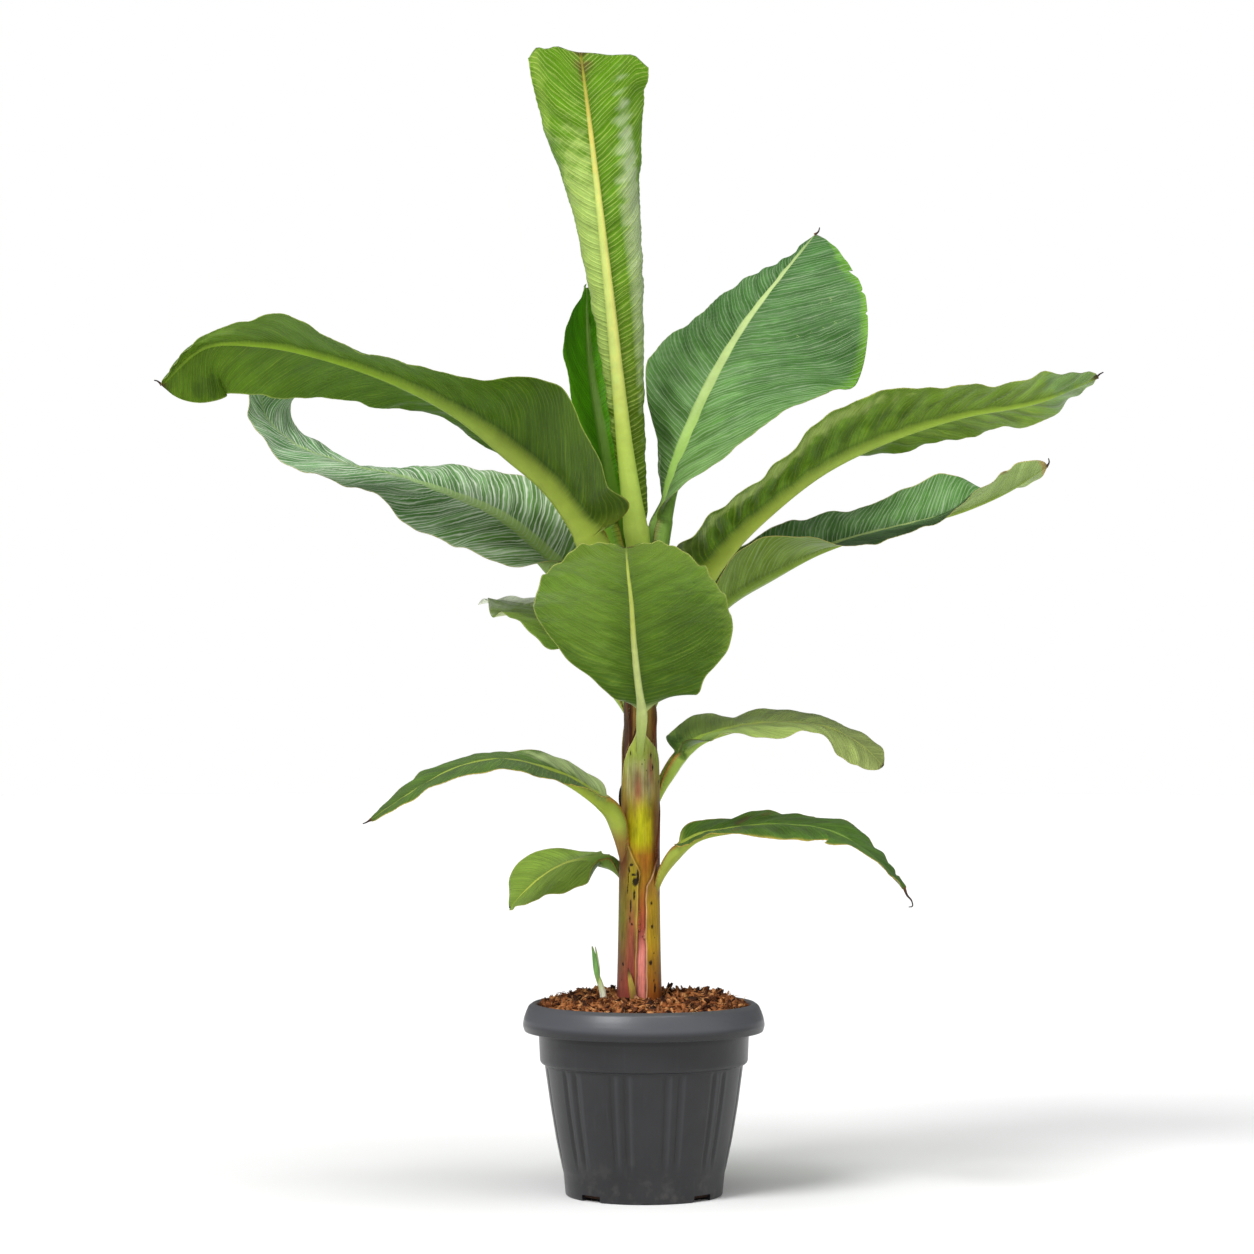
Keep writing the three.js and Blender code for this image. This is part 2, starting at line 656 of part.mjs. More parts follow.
function makeLeaf(leaf, grow) {
  const controls = leaf.spine.map((p) => new THREE.Vector3(...p));
  let up = new THREE.Vector3(0, 1, 0); // the spear rolls up behind its midrib
  if (leaf.foot) {
    const angle = radians(leaf.foot.azimuth);
    up = new THREE.Vector3(-Math.cos(angle), -Math.sin(angle), 0);
    controls.unshift(
      stemPoint(leaf.foot.azimuth, leaf.foot.low), stemPoint(leaf.foot.azimuth, leaf.foot.high),
    );
  } else {
    const top = STEM_PROFILE[STEM_PROFILE.length - 1][1];
    controls.unshift(new THREE.Vector3(STEM_CENTRE.x, leaf.stalk * 0.5, top + GAP + 0.1));
  }
  const samples = traceSpine(controls);
  frameSpine(samples, up);
  const total = samples[samples.length - 1].length;
  const thick = total * THICKNESS_RATIO;

  const lengths = [];
  const stalkSteps = Math.max(Math.round(leaf.blade_from / STALK_STEP), 2);
  for (let k = 0; k < stalkSteps; k += 1) {
    lengths.push((leaf.blade_from * k) / stalkSteps);
  }
  for (let k = 0; k <= BLADE_SECTIONS; k += 1) {
    const t = k / BLADE_SECTIONS;
    const eased = (t + (1 - Math.cos(Math.PI * t)) / 2) / 2;
    lengths.push(leaf.blade_from + (total - leaf.blade_from) * eased);
  }

  const rings = lengths.map((length, k) => {
    const frame = sampleAt(samples, length);
    if (k === 0) frame.point.addScaledVector(frame.along, -grow);
    if (k === lengths.length - 1) frame.point.addScaledVector(frame.along, grow);
    const u = THREE.MathUtils.clamp((length - leaf.blade_from) / (total - leaf.blade_from), 0, 1);
    const swell = leaf.foot ? 0.35 + 0.65 * smooth(0, 90, length) : 1;
    const rib = Math.max(leaf.stalk * swell * (1 - 0.85 * u ** 0.8), 1.2);
    const fromFoot = leaf.foot ? 0.5 + 0.5 * smooth(0, 90, length) : 1;
    const depth = thick * fromFoot * (1 - TIP_THINNING * smooth(0.8, 1, u));
    const left = halfPoints(frame, halfSection(leaf, leaf.left, length, total), -1, rib, depth, grow);
    const right = halfPoints(frame, halfSection(leaf, leaf.right, length, total), 1, rib, depth, grow);
    const across = [...left.slice(1).reverse(), ...right];
    return [...across.map((p) => p.upper), ...across.reverse().map((p) => p.under)];
  });
  return solidFromRings(rings, stripCap);
}

// ---- the whole plant -------------------------------------------------------------------

addMesh('pot', makePot(), POT_GREY, 0.6);

const { x: stemX, y: stemY } = STEM_CENTRE;
const sucker = makeSucker();
const stub = makeStub();
const pockets = [
  cylinder(STEM_PROFILE[0][0] + GAP + 0.1, stemX, stemY, POCKET_FLOOR, 300, STEM_SEGMENTS),
  cylinder(SUCKER.radius + 0.6, SUCKER.x, SUCKER.y, SUCKER.foot - GAP, 300, 16),
  cylinder(STUB.radius + 0.6, STUB.x, STUB.y, STUB.foot - GAP, 300, 16),
];
const soil = pockets.reduce((body, pocket) => body.subtract(pocket), makeSoil());
addMesh('soil', soil, SOIL_BROWN, 0.95);
addMesh('pseudostem', makeStem(0), STEM_OLIVE, 0.5);
addMesh('sucker', sucker, BLADE_GREEN, 0.5);
addMesh('dried_stub', stub, DRIED_BROWN, 0.8);

// Each leaf is cut clear of the stem and of the leaves whose sheaths lie outside it.
const placed = [makeStem(GAP + 0.02)];
for (const leaf of LEAVES) {
  let body = makeLeaf(leaf, 0);
  for (const other of placed) {
    if (body.intersect(other).volume() > 0) {
      body = largest(body.subtract(other)).simplify(CUT_TIDY);
    }
  }
  addMesh(leaf.name, body, leaf.colour, 0.45);
  placed.push(makeLeaf(leaf, GAP + CUT_MARGIN));
}

export default group;
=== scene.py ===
import math

import bpy
import numpy as np
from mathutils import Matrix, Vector


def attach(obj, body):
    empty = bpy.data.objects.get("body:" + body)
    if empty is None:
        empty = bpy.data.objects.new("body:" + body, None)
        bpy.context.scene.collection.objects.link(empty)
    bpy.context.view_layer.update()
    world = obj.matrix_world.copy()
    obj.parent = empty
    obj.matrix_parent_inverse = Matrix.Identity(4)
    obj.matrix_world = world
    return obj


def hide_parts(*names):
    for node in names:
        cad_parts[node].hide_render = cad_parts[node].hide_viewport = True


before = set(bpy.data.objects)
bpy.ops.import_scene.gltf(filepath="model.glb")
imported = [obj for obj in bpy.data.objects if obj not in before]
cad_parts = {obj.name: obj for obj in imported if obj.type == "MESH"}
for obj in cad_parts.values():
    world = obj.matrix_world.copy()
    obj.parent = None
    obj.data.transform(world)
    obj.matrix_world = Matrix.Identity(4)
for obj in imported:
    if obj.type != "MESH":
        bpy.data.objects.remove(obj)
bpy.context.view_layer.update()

# A young banana plant in a nursery pot. Sizes are millimetres where a name or comment says so,
# and MM turns them to metres. The pot's underside is at height 0 and the front faces -Y.
MM = 0.001

# ---- studio ----------------------------------------------------------------------------
# A plain pale floor in a white room: broad soft lamps high on the left and overhead, weaker ones
# from the right and the front. The camera stands level, five metres in front.

bpy.context.scene.view_settings.view_transform = "Standard"
room = bpy.data.worlds.new("room")
bpy.context.scene.world = room
room.use_nodes = True
nodes, links = room.node_tree.nodes, room.node_tree.links
walls = nodes["Background"]
walls.inputs["Color"].default_value = (1, 1, 1, 1)
walls.inputs["Strength"].default_value = 1.0
bounce = nodes.new("ShaderNodeBackground")
bounce.inputs["Color"].default_value = (0.98, 0.99, 1.0, 1)
bounce.inputs["Strength"].default_value = 0.25
seen = nodes.new("ShaderNodeLightPath")
either = nodes.new("ShaderNodeMixShader")
links.new(seen.outputs["Is Camera Ray"], either.inputs[0])
links.new(bounce.outputs[0], either.inputs[1])
links.new(walls.outputs[0], either.inputs[2])
links.new(either.outputs[0], nodes["World Output"].inputs["Surface"])

LAMPS = {  # name: where it shines from, softness in degrees, strength
    "key": ((-0.7, -0.85, 1.1), 24, 2.3),
    "top": ((0.1, -0.3, 1.0), 40, 1.45),
    "fill": ((1.2, -0.8, 0.5), 60, 0.4),
    "front": ((-0.1, -1.0, 0.05), 60, 0.5),
}
for lamp_name, (towards, softness, strength) in LAMPS.items():
    lamp = bpy.data.lights.new(lamp_name, "SUN")
    lamp.angle = math.radians(softness)
    lamp.energy = strength
    stand = bpy.data.objects.new(lamp_name, lamp)
    bpy.context.collection.objects.link(stand)
    stand.location = 3 * Vector(towards)
    stand.rotation_euler = Vector(towards).to_track_quat("Z", "Y").to_euler()

CAMERA_PLACE = (-0.02125, -5.0, 0.709)
lens = bpy.data.cameras.new("camera")
lens.lens = 114.8
lens.sensor_width = 36
camera = bpy.data.objects.new("camera", lens)
bpy.context.collection.objects.link(camera)
camera.location = CAMERA_PLACE
camera.rotation_euler = (math.radians(90), 0, 0)
bpy.context.scene.camera = camera


class Wire:
    """A value in a shader, so that sums on it add the Math nodes that work them out."""

    def __init__(self, finish, socket):
        self.finish = finish
        self.socket = socket

    def sum(self, operation, *others):
        values = dict(enumerate((self, *others)))
        return self.finish.node("ShaderNodeMath", {"operation": operation}, values)

    def __add__(self, other):
        return self.sum("ADD", other)

    def __sub__(self, other):
        return self.sum("SUBTRACT", other)

    def __rsub__(self, other):
        return self.finish.node("ShaderNodeMath", {"operation": "SUBTRACT"}, {0: other, 1: self})

    def __mul__(self, other):
        return self.sum("MULTIPLY", other)

    def __pow__(self, other):
        return self.sum("POWER", other)

    def between(self, low, high):
        """0 below low and 1 above high, or the other way round when high is the smaller."""
        sockets = {"Value": self, "From Min": low, "From Max": high}
        if low > high:
            sockets = {"Value": self, "From Min": high, "From Max": low, "To Min": 1, "To Max": 0}
        return self.finish.node("ShaderNodeMapRange", {"interpolation_type": "SMOOTHSTEP"}, sockets)


class Finish:
    """A material whose nodes are added by the expressions written with it."""

    def __init__(self, name, **fixed):
        self.material = bpy.data.materials.new(name)
        self.material.use_nodes = True
        self.tree = self.material.node_tree
        self.shader = self.tree.nodes["Principled BSDF"]
        for socket, value in fixed.items():
            self.shader.inputs[socket.replace("_", " ")].default_value = value

    def node(self, kind, settings=None, sockets=None, out=0):
        """A new node with its settings and sockets filled in. Stops are those of a colour ramp."""
        made = self.tree.nodes.new(kind)
        for key, value in (settings or {}).items():
            if key == "stops":
                ramp = made.color_ramp.elements
                while len(ramp) < len(value):
                    ramp.new(1)
                for stop, (at, colour) in zip(ramp, value):
                    stop.position = at
                    stop.color = colour
            else:
                setattr(made, key, value)
        for key, value in (sockets or {}).items():
            if isinstance(value, Wire):
                self.tree.links.new(value.socket, made.inputs[key])
            else:
                made.inputs[key].default_value = value
        return Wire(self, made.outputs[out])

    def place(self, stretch=(1, 1, 1)):
        """Object coordinates in metres, drawn out by the stretch given."""
        spot = self.node("ShaderNodeTexCoord", out="Object")
        return self.node("ShaderNodeMapping", None, {"Vector": spot, "Scale": stretch})

    def painted(self, attribute):
        return self.node("ShaderNodeAttribute", {"attribute_name": attribute}, out="Vector")

    def parts(self, vector):
        split = self.node("ShaderNodeSeparateXYZ", None, {"Vector": vector}).socket.node
        return [Wire(self, output) for output in split.outputs]

    def noise(self, vector, scale, detail=3, rough=0.55):
        sockets = {"Vector": vector, "Scale": scale, "Detail": detail, "Roughness": rough}
        return self.node("ShaderNodeTexNoise", None, sockets)

    def mix(self, share, first, second):
        return self.node("ShaderNodeMix", {"data_type": "RGBA"}, {0: share, 6: first, 7: second}, out=2)

    def brighter(self, colour, times):
        return self.node("ShaderNodeVectorMath", {"operation": "SCALE"}, {0: colour, "Scale": times})

    def bump(self, height, depth):
        self.feed("Normal", self.node("ShaderNodeBump", None, {"Height": height, "Distance": depth}))

    def feed(self, socket, wire):
        self.tree.links.new(wire.socket, self.shader.inputs[socket])


def colour(code):
    """Linear colour of a six-figure code such as "7aa23c"."""
    parts = np.array([int(code[i:i + 2], 16) for i in (0, 2, 4)]) / 255
    return np.where(parts <= 0.04045, parts / 12.92, ((parts + 0.055) / 1.055) ** 2.4)


def solid_colour(code):
    return (*colour(code), 1)


bpy.ops.object.select_all(action="DESELECT")
bpy.ops.mesh.primitive_circle_add(vertices=96, radius=12, fill_type="NGON")
floor = bpy.context.object
floor.name = "floor"
floor_paint = Finish("floor_paint", Roughness=0.9)
grain = floor_paint.noise(floor_paint.place(), 3, 4)
floor_paint.feed("Base Color", floor_paint.mix(grain, solid_colour("f6f6f5"), solid_colour("f9f9f9")))
floor.data.materials.append(floor_paint.material)


# ---- pot -------------------------------------------------------------------------------
# A nursery pot blown and moulded in matt charcoal plastic: a rolled rim, a plain band under it,
# pairs of shallow flutes down the tapered body and four drain notches in the foot.

def skin(name, rings, painting=None):
    """A closed piece from its cross rings, given as [ring, point, xyz] in millimetres. The first
    and last ring close on themselves, and painting holds what each point carries by name."""
    count, around = rings.shape[:2]
    bpy.ops.object.select_all(action="DESELECT")
    bpy.ops.mesh.primitive_grid_add(x_subdivisions=around, y_subdivisions=count - 1, size=1)
    piece = bpy.context.object
    piece.name = piece.data.name = name
    wrapped = np.concatenate([rings, rings[:, :1]], axis=1) * MM
    piece.data.vertices.foreach_set("co", wrapped.reshape(-1).astype(np.float32))
    for key, values in (painting or {}).items():
        values = np.broadcast_to(values, (count, around, 3))
        layer = piece.data.attributes.new(key, "FLOAT_VECTOR", "POINT")
        layer.data.foreach_set("vector", np.concatenate([values, values[:, :1]], 1).reshape(-1))
    bpy.ops.object.mode_set(mode="EDIT")
    bpy.ops.mesh.select_all(action="SELECT")
    bpy.ops.mesh.remove_doubles(threshold=0.000002)
    bpy.ops.mesh.normals_make_consistent(inside=False)
    bpy.ops.object.mode_set(mode="OBJECT")
    bpy.ops.object.shade_smooth()
    return piece


def hand_over(piece, node, finish):
    piece.data.materials.clear()
    piece.data.materials.append(finish.material)
    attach(piece, "root")
    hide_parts(node)


def smooth(low, high, x):
    t = np.clip((x - low) / (high - low), 0, 1)
    return t * t * (3 - 2 * t)


def rounded(corners, radius):
    """The outline through the corners, with each corner eased over the radius given."""
    corners = np.array(corners, float)
    line = [corners[0]]
    for before, here, after in zip(corners, corners[1:], corners[2:]):
        back, on = before - here, after - here
        reach = min(radius, np.linalg.norm(back) * 0.45, np.linalg.norm(on) * 0.45)
        start = here + back / np.linalg.norm(back) * reach
        end = here + on / np.linalg.norm(on) * reach
        for t in (0, 0.25, 0.5, 0.75, 1):
            line.append(start * (1 - t) ** 2 + here * 2 * t * (1 - t) + end * t * t)
    return np.array([*line, corners[-1]])


POT_WALL = [  # [radius, height] from the middle of the floor up the inside and down the outside
    [0, 4], [95.5, 4], [100, 32], [120.5, 160], [127.5, 170], [128.5, 222], [134, 238], [138, 240],
    [144, 236], [147.5, 228], [150, 220.5], [151.3, 212], [149, 204.6], [146.5, 204.6],
    [145, 224], [134.5, 224], [131.5, 204], [130, 168], [128, 164.5], [123.8, 163.5],
    [123.8, 161], [117.5, 115], [110, 70], [102.6, 34], [100.8, 28], [98, 0], [0, 0],
]
POT_ROUND = 2.2
POT_SEGMENTS = 300
FLUTE_PAIRS = [16, 48, 80, 100, 132, 164]  # degrees either side of the front
FLUTE_SPACING = 4.2  # degrees from the middle of a pair to each flute
FLUTE_WIDE = 1.5
FLUTE_DEPTH = 1.5
FLUTES_FROM, FLUTES_TO = 32, 163  # heights between which the flutes run
NOTCH_TURNS = [47.5, 137.5, 227.5, 317.5]
NOTCH_RADIUS = 98
NOTCH_SIZE = (0.034, 0.030, 0.016)  # metres; the lower half is below the foot
SMOOTH_ANGLE = 38

wall = rounded(POT_WALL, POT_ROUND)
outside = [wall[0]]
for low, high in zip(wall, wall[1:]):  # long stretches get steps of their own for the flutes
    steps = max(int(np.linalg.norm(high - low) / 4), 1)
    outside += [low + (high - low) * k / steps for k in range(1, steps + 1)]
wall = np.array(outside)
turn = np.linspace(0, 2 * np.pi, POT_SEGMENTS, endpoint=False)[None, :]
radius, height = wall[:, :1], wall[:, 1:]
outer_body = (np.arange(len(wall))[:, None] > np.argmax(height)) & (height < FLUTES_TO)
groove = np.zeros((len(wall), POT_SEGMENTS))
for pair in FLUTE_PAIRS:
    for side in (-1, 1):
        for edge in (-1, 1):
            middle = np.radians(270 + side * pair + edge * FLUTE_SPACING)
            away = np.degrees(np.abs((turn - middle + np.pi) % (2 * np.pi) - np.pi))
            groove = np.maximum(groove, 1 - smooth(FLUTE_WIDE * 0.3, FLUTE_WIDE, away))
groove = groove * outer_body * smooth(FLUTES_FROM, FLUTES_FROM + 28, height)
groove = groove * (1 - smooth(FLUTES_TO - 5, FLUTES_TO, height))
sag = 0.25 * np.sin(3 * turn + height * 0.02)  # a moulded wall is never quite round
reach = radius - FLUTE_DEPTH * groove + sag * smooth(20, 90, radius)
flute_lip_highlight = np.roll(groove, 3, axis=1) * (1 - groove)  # the right lip of each flute is painted lighter, a painted highlight
pot = skin("pot_moulded", np.stack(
    [reach * np.cos(turn), reach * np.sin(turn), np.broadcast_to(height, reach.shape)], axis=2),
    {"flute": np.stack([groove, flute_lip_highlight, 0 * groove], axis=2)})
for turned in NOTCH_TURNS:  # each drain notch is cut out with a block and the block is deleted
    bpy.ops.object.select_all(action="DESELECT")
    a = math.radians(turned)
    spot = Vector((math.cos(a), math.sin(a), 0)) * NOTCH_RADIUS * MM
    bpy.ops.mesh.primitive_cube_add(size=1, location=spot, rotation=(0, 0, a), scale=NOTCH_SIZE)
    block = bpy.context.object
    bpy.context.view_layer.objects.active = pot
    cut = pot.modifiers.new("notch", "BOOLEAN")
    cut.operation = "DIFFERENCE"
    cut.object = block
    bpy.ops.object.modifier_apply(modifier=cut.name)
    bpy.data.objects.remove(block)
bpy.ops.object.select_all(action="DESELECT")
pot.select_set(True)
bpy.context.view_layer.objects.active = pot
bpy.ops.object.shade_smooth_by_angle(angle=math.radians(SMOOTH_ANGLE))

pot_plastic = Finish("pot_plastic", Specular_IOR_Level=0.42)
spot = pot_plastic.place()
cloud = pot_plastic.noise(spot, 9, 4)
fine = pot_plastic.noise(spot, 900, 2)
drips = pot_plastic.noise(pot_plastic.place((160, 160, 6)), 1, 3)
x, y, z = pot_plastic.parts(spot)
dust = (pot_plastic.noise(spot, 60, 5).between(0.5, 0.72)) * (z.between(0.075, 0.0)) * 0.5
grey = pot_plastic.mix(cloud.between(0.3, 0.7), solid_colour("1a1a1d"), solid_colour("242427"))
grey = pot_plastic.mix(drips.between(0.55, 0.8) * 0.25, grey, solid_colour("353639"))
flute, lip, _ = pot_plastic.parts(pot_plastic.painted("flute"))
# painted shade darkens each flute's groove, and a painted highlight lightens its right lip
grey = pot_plastic.mix(flute * 0.45, grey, solid_colour("0b0b0c"))
grey = pot_plastic.mix(lip * 0.4, grey, solid_colour("3f4043"))
# painted highlight on the top of the rim, then painted shadow in a thin band under it
grey = pot_plastic.mix(z.between(0.210, 0.219) * 0.9, grey, solid_colour("515257"))
grey = pot_plastic.mix(z.between(0.205, 0.2035) * z.between(0.196, 0.2) * 0.8, grey, solid_colour("060607"))
grey = pot_plastic.mix(dust, grey, solid_colour("4a4744"))
specks = pot_plastic.node("ShaderNodeTexVoronoi", {"feature": "F1"}, {"Vector": spot, "Scale": 190})
thrown = pot_plastic.noise(spot, 24, 2).between(0.58, 0.7)
crumb = specks.between(0.13, 0.07) * thrown * z.between(0.05, 0.02)
grey = pot_plastic.mix(crumb * 0.8, grey, solid_colour("7a4a2c"))
pot_plastic.feed("Base Color", grey)
pot_plastic.feed("Roughness", cloud * 0.14 + fine * 0.06 + 0.24)
pot_plastic.bump(fine * 0.5 + pot_plastic.noise(spot, 60, 4) * 0.8, 0.00025)
hand_over(pot, "pot", pot_plastic)


# ---- potting mix -----------------------------------------------------------------------
# Coarse coir and bark mulch, heaped a little above the rim at the back. The heap is one closed
# body; loose chips and curly fibres lie over it in two joined pieces.

rng = np.random.default_rng(41)


MIX_RADIUS = 133
MIX_LEVEL = 231  # at the wall
MIX_SEGMENTS = 160
MIX_RINGS = 66
CHIPS, FIBRES = 1500, 1900  # thrown; those that land on the trunk's foot are left out
TRUNK_CLEAR = 31


def mix_top(x, y):
    """Height of the mulch, in millimetres."""
    r = np.hypot(x, y) / MIX_RADIUS
    mound = 13 * np.sqrt(np.clip(1 - r * r, 0, 1))
    back = 6 * (y / MIX_RADIUS) * np.clip(1 - r ** 4, 0, 1)
    lumps = np.sin(x * 0.11 + 1) * np.cos(y * 0.13) + np.sin(x * 0.05 - y * 0.17)
    clods = np.sin(x * 0.31 + 2) * np.sin(y * 0.27 + x * 0.09) + np.sin(y * 0.41 - x * 0.23)
    heaped = 3.5 * np.exp(-((x + 78) / 26) ** 2) + 5 * np.exp(-((x - 84) / 24) ** 2)
    return MIX_LEVEL + mound + back + (1.8 * lumps + 1.3 * clods + heaped) * np.clip(1 - r ** 6, 0, 1)


under_wall = np.array([[0, 4.4], [94.7, 4.4], [99.6, 32], [120.1, 160], [127.1, 170], [128.1, 222]])
turn = np.linspace(0, 2 * np.pi, MIX_SEGMENTS, endpoint=False)
rings = [np.stack([r * np.cos(turn), r * np.sin(turn), np.full(MIX_SEGMENTS, z)], 1)
         for r, z in under_wall]
for r in np.linspace(130.5, 0, MIX_RINGS):
    x, y = r * np.cos(turn), r * np.sin(turn)
    rings.append(np.stack([x, y, mix_top(x, y) + (r > 0) * rng.normal(0, 0.5, MIX_SEGMENTS)], 1))
mulch = skin("mulch_heap", np.array(rings))

mulch_brown = Finish("mulch_brown", Roughness=0.95, Specular_IOR_Level=0.25)
spot = mulch_brown.place()
strands = mulch_brown.noise(mulch_brown.place((1, 2.5, 1)), 260, 4, 0.7)
clumps = mulch_brown.noise(spot, 45, 3)
brown = mulch_brown.node("ShaderNodeValToRGB", {"stops": [
    (0.3, solid_colour("2e170c")), (0.46, solid_colour("6b3c1f")),
    (0.6, solid_colour("a3653a")), (0.76, solid_colour("cc8d58"))]},
    {"Fac": strands * 0.7 + clumps * 0.3})
x, y, z = mulch_brown.parts(spot)
# painted shade: the mix low inside the pot, seen through the drain notches, is nearly black
brown = mulch_brown.mix(z.between(0.06, 0.02) * 0.9, brown, solid_colour("120c09"))
mulch_brown.feed("Base Color", brown)
mulch_brown.bump(strands + clumps, 0.003)
hand_over(mulch, "soil", mulch_brown)


def scatter(name, model, places, turns, sizes, tints):
    """One piece of many copies of a small model. Each copy has its own place in millimetres,
    turns about X, Y and Z, size and tint."""
    points = np.array([v.co for v in model.data.vertices])
    faces = [list(face.vertices) for face in model.data.polygons]
    all_points, all_faces, all_tints = [], [], []
    for k, (place, turned, size, tint) in enumerate(zip(places, turns, sizes, tints)):
        (cx, cy, cz), (sx, sy, sz) = np.cos(turned), np.sin(turned)
        matrix = (np.array([[cz, -sz, 0], [sz, cz, 0], [0, 0, 1]])
                  @ np.array([[cy, 0, sy], [0, 1, 0], [-sy, 0, cy]])
                  @ np.array([[1, 0, 0], [0, cx, -sx], [0, sx, cx]]))
        all_points.append((points * size) @ matrix.T + place)
        all_faces += [[v + k * len(points) for v in face] for face in faces]
        all_tints.append(np.broadcast_to(tint, (len(points), 3)))
    mesh = bpy.data.meshes.new(name)
    mesh.from_pydata((np.concatenate(all_points) * MM).tolist(), [], all_faces)
    layer = mesh.attributes.new("tint", "FLOAT_VECTOR", "POINT")
    layer.data.foreach_set("vector", np.concatenate(all_tints).reshape(-1))
    piece = bpy.data.objects.new(name, mesh)
    bpy.context.collection.objects.link(piece)
    bpy.data.objects.remove(model)
    bpy.ops.object.select_all(action="DESELECT")
    piece.select_set(True)
    bpy.context.view_layer.objects.active = piece
    bpy.ops.object.shade_smooth()
    return piece


def on_mulch(count, reach, lift):
    """Random places over the mulch, clear of the stem and the wall."""
    r = reach * np.sqrt(rng.uniform(0.05, 1, count))
    a = rng.uniform(0, 2 * np.pi, count)
    x, y = r * np.cos(a), r * np.sin(a)
    keep = np.hypot(x + 5, y) > TRUNK_CLEAR
    x, y = x[keep], y[keep]
    return np.stack([x, y, mix_top(x, y) + rng.uniform(*lift, len(x))], 1)


bpy.ops.object.select_all(action="DESELECT")
bpy.ops.mesh.primitive_cube_add(size=1)
chip = bpy.context.object
bpy.ops.object.mode_set(mode="EDIT")
bpy.ops.mesh.subdivide(number_cuts=1)
bpy.ops.transform.vertex_random(offset=0.22, uniform=0.6, seed=4)
bpy.ops.object.mode_set(mode="OBJECT")
places = on_mulch(CHIPS, 127, (-1.2, 2.2))
n = len(places)
tilts = rng.normal(0, 0.5, (n, 2))
turns = np.column_stack([tilts, rng.uniform(0, 2 * np.pi, n)])
sizes = np.column_stack([rng.uniform(5, 18, n), rng.uniform(3, 8, n), rng.uniform(1, 3, n)])
browns = np.array([colour(c) for c in ("5c341d", "85502d", "a9693c", "c98a56", "3a2014", "96592f")])
chips = scatter("mulch_chips", chip, places, turns, sizes, browns[rng.integers(0, len(browns), n)])

bark = Finish("bark", Roughness=0.9, Specular_IOR_Level=0.25)
spot = bark.place()
grain = bark.noise(bark.place((1, 1, 2)), 500, 4, 0.7)
tone = bark.brighter(bark.painted("tint"), grain * 2.2 + 0.1)
bark.feed("Base Color", tone)
bark.bump(grain, 0.0012)
hand_over(chips, "soil", bark)

bpy.ops.object.select_all(action="DESELECT")
bpy.ops.mesh.primitive_cylinder_add(vertices=4, radius=0.5, depth=1, rotation=(0, math.pi / 2, 0))
fibre = bpy.context.object
bpy.ops.object.transform_apply(location=False, rotation=True, scale=False)
bpy.ops.object.mode_set(mode="EDIT")
bpy.ops.mesh.select_mode(type="EDGE")
bpy.ops.mesh.select_all(action="DESELECT")
bpy.ops.object.mode_set(mode="OBJECT")
for edge in fibre.data.edges:  # only the long edges are cut, so the ends stay plain
    ends = [fibre.data.vertices[v].co.x for v in edge.vertices]
    edge.select = abs(ends[0] - ends[1]) > 0.5
bpy.ops.object.mode_set(mode="EDIT")
bpy.ops.mesh.subdivide(number_cuts=6)
bpy.ops.object.mode_set(mode="OBJECT")
for v in fibre.data.vertices:  # a lazy S bend, thinner at both ends
    thin = 1 - 3 * v.co.x ** 2
    v.co.y = v.co.y * thin + 3.2 * math.sin(v.co.x * 5.5)
    v.co.z = v.co.z * thin + 2.4 * math.cos(v.co.x * 4.2)
places = on_mulch(FIBRES, 128, (-1.0, 1.6))
n = len(places)
turns = np.column_stack([rng.uniform(0, 6.3, n), rng.normal(0, 0.28, n), rng.uniform(0, 6.3, n)])
thick = rng.uniform(0.5, 1.3, n)
sizes = np.column_stack([rng.uniform(10, 30, n), thick, thick])
tans = np.array([colour(c) for c in ("a3653a", "c07f4a", "80492a", "d69d66", "57301c")])
fibres = scatter("mulch_fibres", fibre, places, turns, sizes, tans[rng.integers(0, len(tans), n)])
hand_over(fibres, "soil", bark)


# ---- pseudostem ------------------------------------------------------------------------
# The trunk is a roll of leaf sheaths, each wrapping the younger ones inside it. The sheaths are
# firm and fleshy, wine red at the foot and olive higher up, with dark scars and a waxy bloom.

STEM_AXIS = np.array([-5.0, 0.0])  # millimetres, as are all sizes here
STEM_RADIUS = np.array([[235, 31], [242, 29.4], [300, 27.8], [345, 27], [450, 25.6], [560, 23.2],
                        [620, 20], [680, 16], [740, 12.5], [790, 10]], float)
SHEATH_STEP = 0.9  # how far one sheath stands out from the next one in
SHEATH_DEEPEST = 2.8

